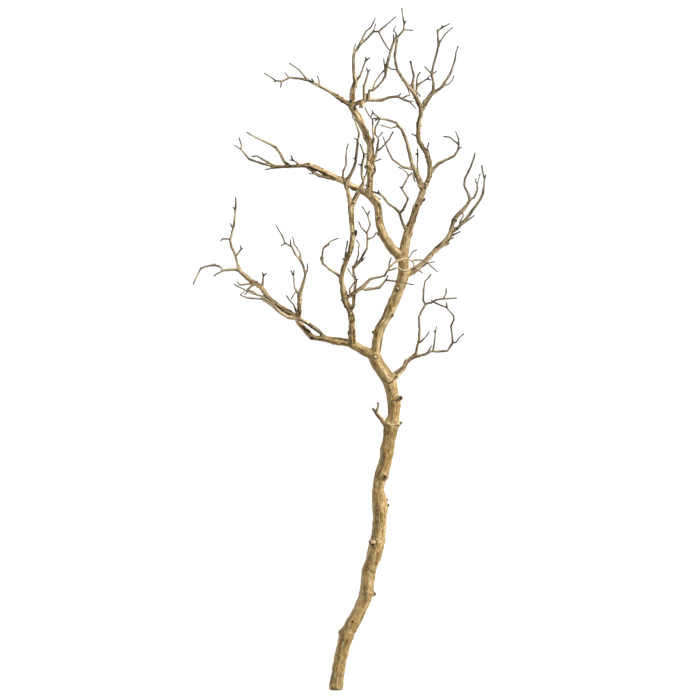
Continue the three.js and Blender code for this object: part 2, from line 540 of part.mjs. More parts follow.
limbs.top_stem = {
  from: 'upper_leader',
  collar: 1,
  stem: [
    [351.8, 108, 77.5, 2.8], [351.8, 99.5, 80, 2.4], [353.2, 90, 83, 2.3], [355.4, 82.5, 85, 2],
    [353.6, 73, 87.5, 1.4], [353.3, 62, 90, 1.3], [354, 54.5, 92, 1.3], [360, 45.6, 95, 1.2],
    [368, 38.4, 98, 1], [373, 32.8, 100, 1], [379, 32.4, 101, 0.9], [383.5, 28.3, 102, 0.9],
    [387.4, 25, 102.5, 0.7], [396.2, 17.4, 104, 0.5],
  ],
  twigs: [
    twig([92, 95], [0.8, 0.5], [[353.6, 56], [353.4, 50.5], [356, 44.8]]),
    twig([94.5, 101], [1, 0.6], [
      [358.5, 47.6], [362, 39.8], [366, 32.2], [370.6, 28.6], [373.4, 23.6], [375.4, 18.7],
    ]),
    twig([99.5, 103], [0.8, 0.5], [[371.4, 34.4], [374, 30.4], [375.8, 24.3]]),
    twig([85, 91], [1.2, 0.6], [[355.6, 82.6], [360.4, 76.4], [363.8, 66.5], [365.7, 60], [365.8, 57.3]]),
    twig([90, 91], [0.7, 0.6], [[365.2, 62.2], [370.2, 57.9]]),
    twig([101, 86], [0.9, 0.6], [
      [378.4, 32.5], [383, 41.5], [387.2, 48.6], [391.4, 53.2],
    ]),
  ],
};
limbs.top_cross_arm = {
  from: 'upper_leader',
  collar: 1,
  stem: [
    [351, 108.6, 79, 2.3], [355.5, 104.6, 83, 2], [360, 102.6, 85, 1.8], [368, 100.4, 87.5, 1.6],
    [376, 101, 89.5, 1.4], [382, 100.8, 91, 1.4], [388.5, 98.2, 92.5, 1.3], [397, 97.3, 94, 1.2],
    [403, 100, 95.5, 1], [410, 103, 97, 0.8], [416, 109.6, 99, 0.5],
  ],
  twigs: [
    twig([95, 97], [0.9, 0.5], [[401.5, 99.3], [406, 97], [409.8, 96], [407.2, 88.8]]),
    twig([96, 95], [0.8, 0.5], [[406.5, 101.5], [414, 102.2]]),
    twig([86, 92], [2.4, 2.1], [[362.5, 102.5], [360.6, 107.6]]),
    twig([86.5, 104], [1.5, 0.6], [
      [364.4, 101.4], [364, 93], [364, 87], [367.2, 77], [368, 73], [366.2, 68.3],
    ]),
  ],
  knots: [knot(366, 96, 88, 2.2)],
};
limbs.top_ladder = {
  from: 'top_cross_arm',
  collar: 1,
  stem: [
    [368.4, 100.4, 87.5, 1.5], [368.6, 95, 91, 1.3], [369, 91, 94, 1.2], [372.6, 91.4, 96.5, 1.2],
    [376.9, 88, 98.5, 1], [381.8, 82.4, 100.5, 1], [385.4, 76.6, 102.5, 1.1], [386, 71, 104, 1.5],
    [387.2, 64, 106, 1.5], [390, 54, 109, 1.3], [393, 44.6, 111, 1.2], [396.4, 38.4, 112, 1],
  ],
  twigs: [
    twig([96.5, 104], [0.8, 0.7], [
      [372.6, 91], [373, 88.6], [375, 83.2], [380, 75.6], [384.4, 70.8], [386.4, 69.6],
    ]),
    twig([104, 106], [0.9, 0.6], [[385, 72.6], [384.2, 66], [383.5, 59.2]]),
    twig([105, 100], [0.8, 0.6], [[386.6, 66.8], [391, 70], [396.6, 70.8]]),
    twig([112, 114], [0.9, 0.5], [[396, 39], [396, 34.6], [392.6, 31]]),
    twig([113, 115], [0.6, 0.5], [[393.2, 32], [395.8, 26.8]]),
    twig([111, 113], [0.8, 0.5], [[393.6, 43.6], [393.2, 34.6]]),
  ],
};

// The right leader of the crown
limbs.right_leader = {
  from: 'right_limb',
  collar: 1,
  stem: [
    [403.4, 262, 54, 4.7], [404.7, 245, 54.4, 4.5], [406, 240, 54, 4.2], [407.8, 233, 53.5, 3.9],
    [409.8, 226.5, 53, 3.6], [412.4, 219.5, 52.5, 3.3], [415.4, 210, 52, 3.2], [417.9, 204, 51.5, 3.3],
    [420.8, 198, 51, 3.3], [422.6, 192, 51, 3], [424, 187.6, 50.6, 2.8],
  ],
  twigs: [twig([51, 53], [2, 1.2], [[420.6, 200.4], [425, 199.8]])],
  knots: [knot(424.6, 186, 53, 2.2)],
};
limbs.right_leader_top = {
  from: 'right_leader',
  collar: 1,
  stem: [
    [424, 187.6, 50.6, 2.8], [427, 182, 49.4, 2.5], [429.4, 176, 48, 2.5], [430, 170, 47, 2.4],
    [429.2, 163, 46.4, 2.4], [426.8, 154.5, 45.6, 2.5], [422.5, 148, 45, 2.3], [418.6, 141.5, 45, 2.2],
    [417.7, 135, 45, 2.2], [418.2, 128, 45, 2.1], [418.8, 122, 45, 2.1], [420.4, 115.5, 45, 2],
    [420.8, 109, 45, 2.2], [418, 103.6, 46, 2],
  ],
  twigs: [
    twig([45, 46], [1, 0.7], [[417.8, 137.6], [411.4, 133.9]]),
    twig([46, 52], [0.9, 0.6], [[427, 154], [427.3, 148], [428.7, 142.8]]),
  ],
};
limbs.right_side_branch = {
  from: 'right_leader_top',
  collar: 1,
  stem: [
    [429.6, 174.6, 47.6, 2], [434, 168.6, 44, 1.7], [438, 164.4, 41, 1.5], [446, 160, 37, 1.2],
    [454.4, 156, 33, 1.2], [458, 149.6, 30, 1.1], [458.8, 145, 28.4, 1], [450, 137.4, 25, 0.8],
    [443.2, 136.5, 23, 0.6],
  ],
  twigs: [
    twig([28.4, 24], [0.9, 0.5], [[458.7, 145.5], [458.6, 139.2], [455.4, 131.4]]),
  ],
};
limbs.inner_branch = {
  from: 'right_leader',
  collar: 1,
  stem: [
    [422.8, 190.6, 52, 2.5], [419.8, 182.4, 56, 2.4], [417.4, 176.6, 58.5, 2.3], [414, 169.6, 61.5, 1.9],
    [411.2, 162, 64.5, 1.7], [409.4, 154, 66.5, 1.6], [406.4, 141.5, 70, 1.5], [401.6, 130, 73, 1.3],
    [396, 123.3, 75.5, 1.1], [387, 120.3, 78.5, 1], [380.4, 119.2, 80.5, 0.9], [373.4, 114, 82.5, 0.8],
    [371.6, 110.4, 83.5, 0.6],
  ],
  twigs: [
    twig([57, 66], [1, 0.6], [
      [420, 182], [418, 172], [417.2, 166], [417.8, 157], [417.2, 148.8],
    ]),
    twig([61.5, 82], [1.3, 0.5], [
      [413.4, 169.4], [403, 167.6], [392.4, 160], [388, 151.5], [385.3, 144], [382.7, 136.8],
    ]),
    twig([60, 61], [0.9, 0.5], [[414.6, 171.5], [413.1, 175], [414.4, 181.2], [416.4, 182]]),
    twig([80.5, 82], [0.8, 0.5], [[381, 119.3], [371.2, 119.2]]),
    twig([73.4, 80], [0.8, 0.5], [[401.2, 129.6], [397, 127], [391, 128.8], [380, 125.4]]),
  ],
};

// The thin twig in the fork of the crown
limbs.inner_twig = {
  from: 'right_leader',
  collar: 1,
  stem: [
    [407.4, 231.8, 53.5, 1.7], [403.3, 225, 58.5, 1.4], [401.2, 219.4, 61, 1.3], [399.4, 212.8, 65, 1.4],
    [395, 208.6, 67.5, 1.1], [388, 203.6, 70, 1.1], [383.2, 197.2, 73, 1.1], [379.6, 194.2, 74.5, 1],
    [373, 192.4, 76.5, 0.8], [367.6, 188.6, 78, 0.8], [365.2, 184.8, 79, 0.7],
  ],
  twigs: [
    twig([65, 79], [1.3, 0.7], [
      [399.6, 213], [403, 210.4], [405.6, 205], [408, 199], [401.6, 189], [408.4, 176.6], [412.2, 173],
    ]),
    twig([77.5, 81], [0.7, 0.5], [[408.2, 177], [407.4, 174], [404, 170.8], [397.8, 167.3]]),
  ],
};

// The two stems at the top right
limbs.top_right_stem = {
  from: 'right_leader_top',
  collar: 1,
  stem: [
    [418, 103.6, 46, 2], [416, 98.6, 47.5, 1.9], [413.6, 93, 49.5, 1.8], [409, 88, 52, 1.6],
    [402, 78.6, 55.5, 1.3], [397.2, 70.6, 58, 1.3], [395.4, 62.4, 60.5, 1.3], [394.6, 56, 62, 1.2],
    [396.6, 44, 65, 1.1], [397.5, 37.6, 66.5, 1], [403.4, 31, 68.5, 0.9], [404, 24.4, 70, 0.8],
    [402.7, 17, 71.5, 0.7], [401.5, 8.3, 73, 0.6],
  ],
  twigs: [
    twig([68.5, 70], [0.7, 0.5], [[403.4, 30.4], [413.2, 31.1]]),
    twig([48.5, 55], [1.1, 0.6], [
      [414.8, 96], [416.5, 91], [416.7, 79.4], [418, 75.6], [420.6, 72.2],
    ]),
    twig([51.5, 56], [0.9, 0.5], [[416.6, 88], [419.4, 84], [427.4, 79.2], [430.2, 75.6]]),
    twig([50, 51], [0.7, 0.6], [[416.4, 91.6], [420.6, 97.4]]),
    twig([50, 62], [1.3, 0.8], [[413.2, 92.4], [412.8, 83], [413.8, 76.2], [411, 66], [411, 61.8]]),
    twig([51, 54], [1, 0.6], [[411, 90], [410.8, 86], [412, 83.2]]),
  ],
};
limbs.far_right_stem = {
  from: 'right_leader_top',
  collar: 1,
  stem: [
    [420.4, 111.5, 45, 2.1], [425, 103.4, 43.5, 2.1], [429, 97.4, 42, 1.9], [433, 91.6, 40, 1.5],
    [433.5, 84, 38, 1.2], [431.4, 74.2, 36, 1.1], [433.6, 64.4, 34, 1], [436.6, 54, 32, 1],
    [438.3, 46, 31, 1], [437.5, 31, 29, 0.9], [442, 28, 28.4, 0.8], [450.4, 23.5, 27, 0.5],
  ],
  twigs: [
    twig([36, 38], [0.8, 0.5], [[431.6, 74.4], [424.2, 66.5]]),
    twig([36, 35], [0.7, 0.5], [[431.6, 74.8], [437, 71.2]]),
    twig([31, 28], [0.8, 0.5], [[438.2, 48], [440.6, 41], [445, 34.2], [453, 27.3]]),
    twig([41, 27], [1.5, 0.6], [
      [431.5, 94], [436.5, 91.2], [442, 87], [450.4, 73.6], [455, 60], [455.8, 53], [458.2, 45.8],
    ]),
    twig([37.5, 33], [0.7, 0.5], [[442, 87], [449, 84.2], [452.6, 80], [454, 75.3]]),
  ],
};

// Peeled wood: golden tan on the thick limbs, browner on the thin ones
const THICK_WOOD = { color: 0xb48c58, roughness: 0.72, metalness: 0 };
const THIN_WOOD = { color: 0x8a6c44, roughness: 0.75, metalness: 0 };
const THICK_FROM = 3; // half width above which a limb has the paler colour, survey units

/** One limb as a closed solid: its stem, what is fused to it, and the collars of the limbs it carries. */
function growLimb(name) {
  const { from, collar = 0, stem, twigs, knots = [] } = limbs[name];
  let solid = limbSolid(stem, collar, stem.length - 1, from ? SEAM_GAP : 0);
  for (const route of twigs) solid = solid.add(limbSolid(route));
  for (const bump of knots) solid = solid.add(knotSolid(bump));
  for (const child of Object.values(limbs)) {
    if (child.from === name) solid = solid.add(limbSolid(child.stem, 0, child.collar));
  }
  return solid.asOriginal().simplify(JOIN_TOLERANCE);
}

/** A named mesh of a boolean solid. */
function meshOf(name, solid) {
  const { vertProperties, triVerts } = solid.getMesh();
  const geometry = new THREE.BufferGeometry();
  geometry.setAttribute('position', new THREE.BufferAttribute(vertProperties, 3));
  geometry.setIndex(new THREE.BufferAttribute(triVerts, 1));
  geometry.computeVertexNormals();
  const thick = limbs[name].stem.some((waypoint) => waypoint[3] >= THICK_FROM);
  const material = new THREE.MeshStandardMaterial(thick ? THICK_WOOD : THIN_WOOD);
  const mesh = new THREE.Mesh(geometry, material);
  mesh.name = name;
  return mesh;
}

const branch = new THREE.Group();
for (const name of Object.keys(limbs)) branch.add(meshOf(name, growLimb(name)));

// The origin is on the table, under the middle of the branch.
const box = new THREE.Box3().setFromObject(branch);
const middle = box.getCenter(new THREE.Vector3());
branch.position.set(-middle.x, -middle.y, -box.min.z);

export default branch;
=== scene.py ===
"""The looks of a cut manzanita branch with its bark gone, lying on a pale table.

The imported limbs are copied, blended with their small broken nubs into one rounded surface, given the sinewy
relief, knots and grain of blasted wood, and parted again into one closed piece for each limb.

Metres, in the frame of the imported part: +Y runs along the branch from its cut butt, +Z is up from the table.
"""

import heapq
import json
import logging
import math
from dataclasses import dataclass, field
from enum import Enum
from typing import Any

import bpy
import numpy as np
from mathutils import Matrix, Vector, noise
from mathutils.bvhtree import BVHTree
from mathutils.kdtree import KDTree

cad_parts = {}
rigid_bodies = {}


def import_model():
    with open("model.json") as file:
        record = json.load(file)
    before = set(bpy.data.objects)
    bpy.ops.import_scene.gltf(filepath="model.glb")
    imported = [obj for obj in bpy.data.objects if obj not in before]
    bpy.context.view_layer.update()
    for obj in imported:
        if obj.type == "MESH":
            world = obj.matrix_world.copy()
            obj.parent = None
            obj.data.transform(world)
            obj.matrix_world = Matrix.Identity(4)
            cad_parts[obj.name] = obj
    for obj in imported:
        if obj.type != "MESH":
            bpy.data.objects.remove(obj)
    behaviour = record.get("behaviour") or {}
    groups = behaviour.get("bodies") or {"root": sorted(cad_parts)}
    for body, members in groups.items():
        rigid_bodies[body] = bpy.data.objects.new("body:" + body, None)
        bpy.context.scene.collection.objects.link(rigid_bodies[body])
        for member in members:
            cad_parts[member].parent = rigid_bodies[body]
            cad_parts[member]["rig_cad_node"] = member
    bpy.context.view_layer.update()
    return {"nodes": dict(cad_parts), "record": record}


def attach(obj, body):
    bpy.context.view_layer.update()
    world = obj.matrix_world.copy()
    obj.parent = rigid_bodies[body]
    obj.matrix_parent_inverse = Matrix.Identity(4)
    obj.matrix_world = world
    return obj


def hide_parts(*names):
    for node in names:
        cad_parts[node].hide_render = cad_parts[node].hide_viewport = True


LOG = logging.getLogger("manzanita_branch")
MM = 0.001


def linear(colour: str) -> tuple[float, float, float, float]:
    """Turn an sRGB hex colour to linear light.

    Args:
        colour: six hex digits after a hash.

    Returns:
        Red, green, blue and a full alpha.
    """
    parts = [int(colour[i : i + 2], 16) / 255 for i in (1, 3, 5)]
    red, green, blue = (p / 12.92 if p <= 0.04045 else ((p + 0.055) / 1.055) ** 2.4 for p in parts)
    return red, green, blue, 1.0


def add_node(
    tree: bpy.types.NodeTree,
    kind: str,
    settings: dict[str, Any] | None = None,
    inputs: dict[str | int, Any] | None = None,
) -> bpy.types.Node:
    """Add a shader node with its settings, and fill or link its sockets.

    Args:
        tree: the material's or world's node tree.
        kind: the node's type, without its ShaderNode prefix.
        settings: properties of the node by name.
        inputs: a value, or another node's output socket, for each named or numbered input.

    Returns:
        The new node.
    """
    node = tree.nodes.new("ShaderNode" + kind)
    for name, value in (settings or {}).items():
        setattr(node, name, value)
    for key, value in (inputs or {}).items():
        if isinstance(value, bpy.types.NodeSocket):
            tree.links.new(value, node.inputs[key])
        else:
            node.inputs[key].default_value = value
    return node


def smooth_step(values: np.ndarray, low: float, high: float) -> np.ndarray:
    """Ease values from 0 at low to 1 at high, where low may be the greater of the two."""
    share = np.clip((values - low) / (high - low), 0, 1)
    return share * share * (3 - 2 * share)


@dataclass(frozen=True)
class Survey:
    """Where a pixel of the photograph lies over the table, which it shows from straight above."""

    pixel: float = 914 * MM / 682
    middle_x: float = 339.62  # the pixel over the frame's origin
    middle_y: float = 349.19
    side: int = 700  # of the photograph, in pixels

    def point(self, x: float, y: float, height: float) -> Vector:
        """Place a pixel at a height above the table.

        Args:
            x: pixels from the photograph's left side.
            y: pixels from its top.
            height: millimetres above the table.

        Returns:
            The point in the frame.
        """
        return Vector(((x - self.middle_x) * self.pixel, (self.middle_y - y) * self.pixel, height * MM))


SURVEY = Survey()


@dataclass(frozen=True)
class Band:
    """A change that eases from nothing at an outer distance to its full amount at an inner one.

    The distances are from a knot's middle, in its half widths.
    """

    amount: float = 0.0
    outer: float = 1.0
    inner: float = 0.0

    def at(self, distances: np.ndarray) -> np.ndarray:
        """The change at each distance."""
        return self.amount * smooth_step(distances, self.outer, self.inner)


@dataclass(frozen=True)
class KnotForm:
    """How a knot shapes and colours the wood around its middle.

    Swell and hollow are heights in half widths. The others go from 0 for plain wood to 1 for a black knot,
    a painted shadow or a painted highlight. The ring lies one half width from the middle, and the core is
    pale wood inside it.
    """

    swell: Band = Band()
    hollow: Band = Band()
    dark: Band = Band()
    halo: Band = Band()
    core: Band = Band()
    painted_highlight: Band = Band()
    ring_dark: float = 0.0
    ring_depth: float = 0.0


class KnotKind(Enum):
    """How a knot in the wood, or a spot of painted shading, looks."""

    # A sunken dark eye in a swelling
    DARK = KnotForm(
        swell=Band(0.2, 2.0, 0.9),
        hollow=Band(0.34, 0.75, 0.2),
        dark=Band(0.95, 0.95, 0.35),
        halo=Band(0.3, 1.7, 1.0),
    )
    # A pale cut stub inside a dark ring
    RINGED = KnotForm(
        swell=Band(0.16, 0.95, 0.7),
        core=Band(0.85, 0.75, 0.45),
        ring_dark=0.86,
        ring_depth=0.14,
    )
    # A small dark pit with no swelling; set in rows, painted shade between limbs
    PIT = KnotForm(hollow=Band(0.4, 1.0, 0.2), dark=Band(1.0, 1.0, 0.5))
    # A faint brown scratch; set in rows, a painted shadow under a ridge, stub or knuckle
    DASH = KnotForm(hollow=Band(0.15, 1.0, 0.2), dark=Band(0.72, 1.0, 0.4))
    # A black broken end
    CHARRED = KnotForm(dark=Band(0.9, 1.3, 0.8))
    # A pale spot; set in rows along ridges, a painted highlight
    WORN = KnotForm(painted_highlight=Band(1.0, 1.4, 0.7))


@dataclass(frozen=True)
class Knot:
    """A knot or painted spot: its pixel, height above the table in millimetres, and half width in pixels.

    The spread is how many times it is longer along x and along y than its half width says.
    """

    x: float
    y: float
    height: float
    half_width: float
    kind: KnotKind = KnotKind.DARK
    spread: tuple[float, float] = (1.0, 1.0)


@dataclass(frozen=True)
class Nub:
    """A small broken nub on a limb, from its foot in the wood to its tip.

    Foot and tip are [x, y, height]: pixels, and millimetres above the table. The half widths are in pixels.
    """

    limb: str
    foot: tuple[float, float, float]
    tip: tuple[float, float, float]
    foot_half: float = 0.8
    tip_half: float = 0.6


def painted_shading_along(
    kind: KnotKind, half_width: float, *route: tuple[float, float, float]
) -> tuple[Knot, ...]:
    """Spots set close along a route: painted shade in a crease or seam, or a painted highlight on a ridge.

    Args:
        kind: how they look.
        half_width: their half width in pixels, which is also how far apart they are.
        route: its points as [x, y, height], like a nub's.

    Returns:
        The knots.
    """
    knots = []
    for start, end in zip(route, route[1:]):
        count = max(1, round(math.dist(start[:2], end[:2]) / half_width))
        for step in range(count):
            x, y, height = (a + (b - a) * step / count for a, b in zip(start, end))
            knots.append(Knot(x, y, height, half_width, kind))
    return tuple(knots)


NUBS = (
    Nub("trunk", (371, 541.8, 24), (370.6, 541.6, 33.6), 2.7, 2.5),
    Nub("trunk", (375.2, 541.6, 24), (375.2, 541.4, 34.6), 2.8, 2.6),
    Nub("trunk", (391, 400.4, 40), (402.4, 397.2, 43.5), 3.2, 2.5),
    Nub("trunk", (386.5, 424.5, 38.5), (399, 423.6, 38.5), 2.0, 1.8),
    Nub("trunk", (371, 570.5, 18), (374.9, 572, 18.6), 3.4, 1.7),
    Nub("trunk", (367, 592, 17), (376, 594.3, 17.4), 8.0, 1.4),
    Nub("right_limb", (377, 333.5, 46), (372, 331.6, 47.5), 2.6, 1.6),
    Nub("right_spur", (433, 302.3, 14.5), (431, 299.6, 18)),
    Nub("right_spur_outer", (435.3, 333, 18), (433.8, 330.6, 20)),
    Nub("left_outer_limb", (263.4, 276.2, 17), (266.7, 273, 19)),
    Nub("left_upper_tip", (240.4, 250, 5.6), (242.8, 248.2, 7)),
    Nub("left_upper_tip", (235.4, 210, 9), (232.5, 207, 11)),
    Nub("left_lower_tip", (216.6, 265.5, 1.6), (213.8, 263.2, 2.4)),
    Nub("left_lower_tip", (201.4, 268.6, 1.6), (200.4, 266.8, 2.4)),
    Nub("left_front_branch", (263, 300, 25), (263.6, 296, 28)),
    Nub("centre_leader", (346, 261.5, 102), (341.8, 258.4, 103), 1.0),
    Nub("centre_leader", (345, 180.5, 142), (349.6, 175.5, 146)),
    Nub("centre_leader", (358, 141.5, 158), (353.6, 139, 158)),
    Nub("centre_leader", (356, 160.5, 152), (353, 159, 155)),
    Nub("centre_right_top", (361.8, 166.6, 147), (357.2, 164.7, 149)),
    Nub("centre_right_top", (363.9, 156.6, 150), (368, 153.5, 149)),
    Nub("centre_side_stem", (353.3, 270, 91), (352.2, 266, 92), 0.9),
    Nub("centre_side_stem", (367.5, 215.8, 109), (369.7, 211, 111)),
    Nub("centre_side_stem", (355.6, 281.5, 84), (357.6, 279.2, 87)),
    Nub("left_leader", (378.6, 199.4, 59), (380.8, 198.8, 60), 1.2, 0.9),
    Nub("side_arm", (293.8, 160.9, 41), (289.4, 160.2, 42.5)),
    Nub("top_left_arm", (276.8, 81.3, 59), (273.4, 82.8, 58.5)),
    Nub("top_left_arm", (339.6, 98.8, 74.5), (338, 94.8, 78), 1.4, 0.8),
    Nub("top_left_arm", (343.5, 101.4, 75.5), (343.2, 98.2, 77), 1.3, 0.7),
    Nub("top_stem", (353.4, 91.5, 81.5), (351.8, 88.5, 84), 1.6, 1.0),
    Nub("top_stem", (354.8, 86.4, 83.5), (357.4, 88, 85), 1.6, 1.0),
    Nub("top_cross_arm", (397, 97.3, 94), (401, 94.2, 96)),
    Nub("top_cross_arm", (367.8, 74, 102), (370.2, 69.8, 104)),
    Nub("right_leader_top", (418.6, 124.5, 45), (416, 122.6, 46), 1.7, 1.0),
    Nub("right_leader_top", (418.8, 126.5, 45), (421.3, 125, 46), 1.7, 0.9),
    Nub("right_leader_top", (417.9, 134, 45), (420.6, 132.6, 46), 1.6, 0.8),
    Nub("right_leader_top", (426, 153, 45.5), (428.6, 151.2, 47), 2.0, 1.2),
    Nub("right_side_branch", (458.2, 149.4, 29.5), (461.9, 147.2, 29)),
    Nub("inner_branch", (419.2, 188, 56), (417.8, 183, 57.5), 1.2, 1.1),
    Nub("inner_branch", (417.8, 183, 57.5), (416, 177.5, 58.5), 1.1, 0.9),
    Nub("inner_branch", (417.7, 155.2, 64), (415.2, 154.2, 65)),
    Nub("inner_branch", (377.6, 119.4, 80.8), (374.8, 121.9, 82)),
    Nub("inner_branch", (372.4, 113.2, 82.5), (371, 117.6, 82)),
    Nub("inner_twig", (402, 189.4, 73), (399.5, 186.4, 74)),
    Nub("inner_twig", (378.8, 193.8, 75), (378.6, 190.4, 77)),
    Nub("top_right_stem", (404, 25.2, 70), (406.3, 21.3, 71)),
    Nub("top_right_stem", (426.8, 79.5, 55), (431.2, 80.6, 55)),
    Nub("top_right_stem", (411.2, 65, 60), (409.3, 62.2, 61.5)),
    Nub("top_right_stem", (415, 97.8, 48), (412.6, 99.6, 50), 1.0),
    Nub("far_right_stem", (442.2, 28, 28.6), (441.8, 25.2, 30)),
    Nub("far_right_stem", (437.6, 32, 29), (436.9, 29.6, 30), 0.9),
)

# Knots, pits and scratches; the rows set close along routes at the end are painted shadows and highlights
KNOTS_AND_PAINTED_SHADING = (
    Knot(373, 541.7, 34, 2.9, KnotKind.RINGED, (1.55, 1.0)),
    Knot(375.2, 356.8, 50, 2.1, KnotKind.RINGED),
    Knot(397.5, 288.5, 58.5, 1.9, KnotKind.RINGED),
    Knot(360.6, 107.6, 92, 1.6, KnotKind.RINGED),
    Knot(355.6, 604.8, 18, 1.2, KnotKind.DASH),
    Knot(384.4, 477, 35, 2.6),
    Knot(381.5, 417.5, 36, 2.0),
    Knot(312, 338, 41, 1.6),
    Knot(297.8, 296.5, 48, 1.7),
    Knot(297.8, 303.5, 41, 1.7),
    Knot(354.3, 328, 60, 1.7),
    Knot(353.4, 320, 66, 1.7),
    Knot(352.6, 233.5, 121, 1.5),
    Knot(348.6, 256, 107, 1.4),
    Knot(353.4, 203.6, 136, 1.4),
    Knot(373, 332, 49, 1.4),
    Knot(391, 315, 50, 2.6),
    Knot(378.3, 218.3, 65, 1.8),
    Knot(366.6, 167.2, 75, 1.8),
    Knot(351.2, 102, 82, 1.8),
    Knot(308.5, 164.2, 45, 2.1),
    Knot(424.6, 185.4, 56, 1.7),
    Knot(454.4, 220.5, 17.5, 1.8),
    Knot(456.6, 229, 19, 1.8),
    Knot(352, 622, 23, 1.5, KnotKind.PIT),
    Knot(379.2, 509.6, 32.5, 0.75, KnotKind.DASH, (1, 3.4)),
    Knot(380.4, 515.4, 32, 0.8, KnotKind.DASH, (1, 3)),
    Knot(380.8, 521, 31.5, 0.8, KnotKind.DASH, (1, 3.4)),
    Knot(381.4, 526.6, 31, 0.75, KnotKind.DASH, (1, 2.6)),
    Knot(377, 514.4, 32, 0.7, KnotKind.DASH, (1, 3)),
    Knot(377.4, 521, 31.5, 0.7, KnotKind.DASH, (1, 2.4)),
    Knot(377.2, 527.6, 31, 0.7, KnotKind.DASH, (1, 2.2)),
    Knot(384.2, 510.8, 30, 0.75, KnotKind.DASH, (1, 3)),
    Knot(384.4, 517, 29.5, 0.75, KnotKind.DASH, (1, 3.2)),
    Knot(384.2, 523.4, 29, 0.75, KnotKind.DASH, (1, 2.6)),
    Knot(381.6, 531, 30, 0.75, KnotKind.DASH, (1.6, 1.2)),
    Knot(363.6, 588, 26, 1.0, KnotKind.DASH, (1, 4)),
    Knot(369.6, 556.4, 29, 0.75, KnotKind.DASH, (1, 3)),
    Knot(366.8, 601, 24, 0.7, KnotKind.DASH, (1, 3.6)),
    Knot(376.5, 594.4, 18, 2.3, KnotKind.CHARRED),
    Knot(389.5, 504.6, 23, 1.8, KnotKind.CHARRED),
    Knot(401.4, 397, 46, 2.2, KnotKind.CHARRED),
    Knot(372.3, 408, 40, 1.9, KnotKind.CHARRED),
    Knot(425, 199.8, 53, 1.6, KnotKind.CHARRED),
    Knot(341.8, 258.4, 103, 1.0, KnotKind.CHARRED),
    Knot(401.8, 422, 34.5, 1.2, KnotKind.CHARRED),
    # Painted shadow that the stub casts on the trunk
    *painted_shading_along(KnotKind.DASH, 0.9, (393, 401, 46.5), (396.5, 400.4, 46.5), (399.5, 398.6, 46)),
    # Painted shadow under the knuckle on the trunk
    *painted_shading_along(
        KnotKind.DASH, 1.0, (367, 567.5, 27), (370, 570.6, 26), (372.5, 572.4, 24), (375, 571.6, 21),
    ),
    # Painted shade in the groove beside the spur
    *painted_shading_along(KnotKind.DASH, 0.9, (373, 586, 19.5), (373.2, 590, 20.5), (374, 593, 20.5)),
    # Painted shadow under the collar ridge
    *painted_shading_along(KnotKind.DASH, 0.9, (387, 424.4, 39.5), (391, 426.4, 41), (397, 426.2, 40.5)),
    # Painted highlight along the collar ridge's upper edge
    *painted_shading_along(
        KnotKind.WORN, 0.8, (384.5, 419, 36.6), (387, 422, 39.7), (392, 424.8, 41), (396, 424.4, 40.5),
    ),
    *painted_shading_along(KnotKind.WORN, 0.9, (396, 424.4, 40.5), (400, 422.8, 40)),
    # Painted highlight along the prong
    *painted_shading_along(KnotKind.WORN, 1.2, (376, 409.5, 42), (377.6, 404, 44)),
    # Painted shade in the fork between the limbs
    *painted_shading_along(
        KnotKind.PIT, 1.0, (396, 376.8, 40), (393, 381, 44.7), (391, 382.8, 47.5), (387.5, 383.8, 47),
    ),
    # Painted shadow in the gap between two strands on the left
    *painted_shading_along(
        KnotKind.PIT, 1.0, (264.3, 296, 16.4), (268.5, 299.4, 19.5), (278, 306.8, 24),
        (284.7, 312.3, 25), (292, 315, 29),
    ),
    # Painted highlight along the strand beside it
    *painted_shading_along(
        KnotKind.WORN, 1.3, (263.5, 298.6, 27), (269, 302.6, 29), (281, 312.6, 36), (288, 316, 39),
        (296, 316.6, 31),
    ),
    # Painted highlights along ridges of the upper limbs
    *painted_shading_along(
        KnotKind.WORN, 1.3, (392, 264.5, 107), (400.5, 260, 107), (405, 258.7, 105.6),
        (412.4, 261.5, 102), (414.6, 267.5, 99),
    ),
    *painted_shading_along(KnotKind.WORN, 1.3, (397, 268, 106), (402.5, 270.8, 106.7), (411, 270, 107)),
)


class WoodColour(Enum):
    """The wood's colours, as sRGB hex values."""

    MID = "#b5924f"
    WARM = "#c5a262"
    # Pale straw of the grain and stub cores, also laid as painted highlights
    PALE = "#fbe3b2"
    BROWN = "#624517"
    # Deep brown of fibres, specks and the cut's edge, also laid as painted shade in the relief's hollows
    HOLLOW = "#3f2b0b"
    LIMB = "#866632"
    TWIG = "#6b5b3c"
    # Near black of knots and charred ends, also laid as painted shadows
    EYE = "#2c1f0e"
    WEATHERED = "#423e37"
    END_GRAIN = "#c4a570"


class Pattern(Enum):
    """What a tint of the wood follows."""

    TONE = "broad soft patches"
    PATCH = "patches in which dark specks gather"
    GIRTH = "the wood's radius in millimetres"
    STREAK = "streaks along the grain"
    FIBRE = "fibres along the grain"
    SPECK = "short specks along the grain"
    RELIEF = "ridges above zero and hollows below it"
    TIP = "how near the broken tip of a twig is"
    # Knots, scars and painted shadows above zero; pale stub cores and painted highlights below it
    EYE = "knots above zero and rubbed wood below it"
    RING = "growth rings on the cut butt"
    REACH = "metres from the middle of the cut butt"


@dataclass(frozen=True)
class Tint:
    """A colour laid over the wood where its pattern goes from low to high, covering it by most at high.

    A gathered tint is laid only in the patches of dark specks.
    """

    pattern: Pattern
    low: float
    high: float
    most: float
    colour: WoodColour
    gathered: bool = False


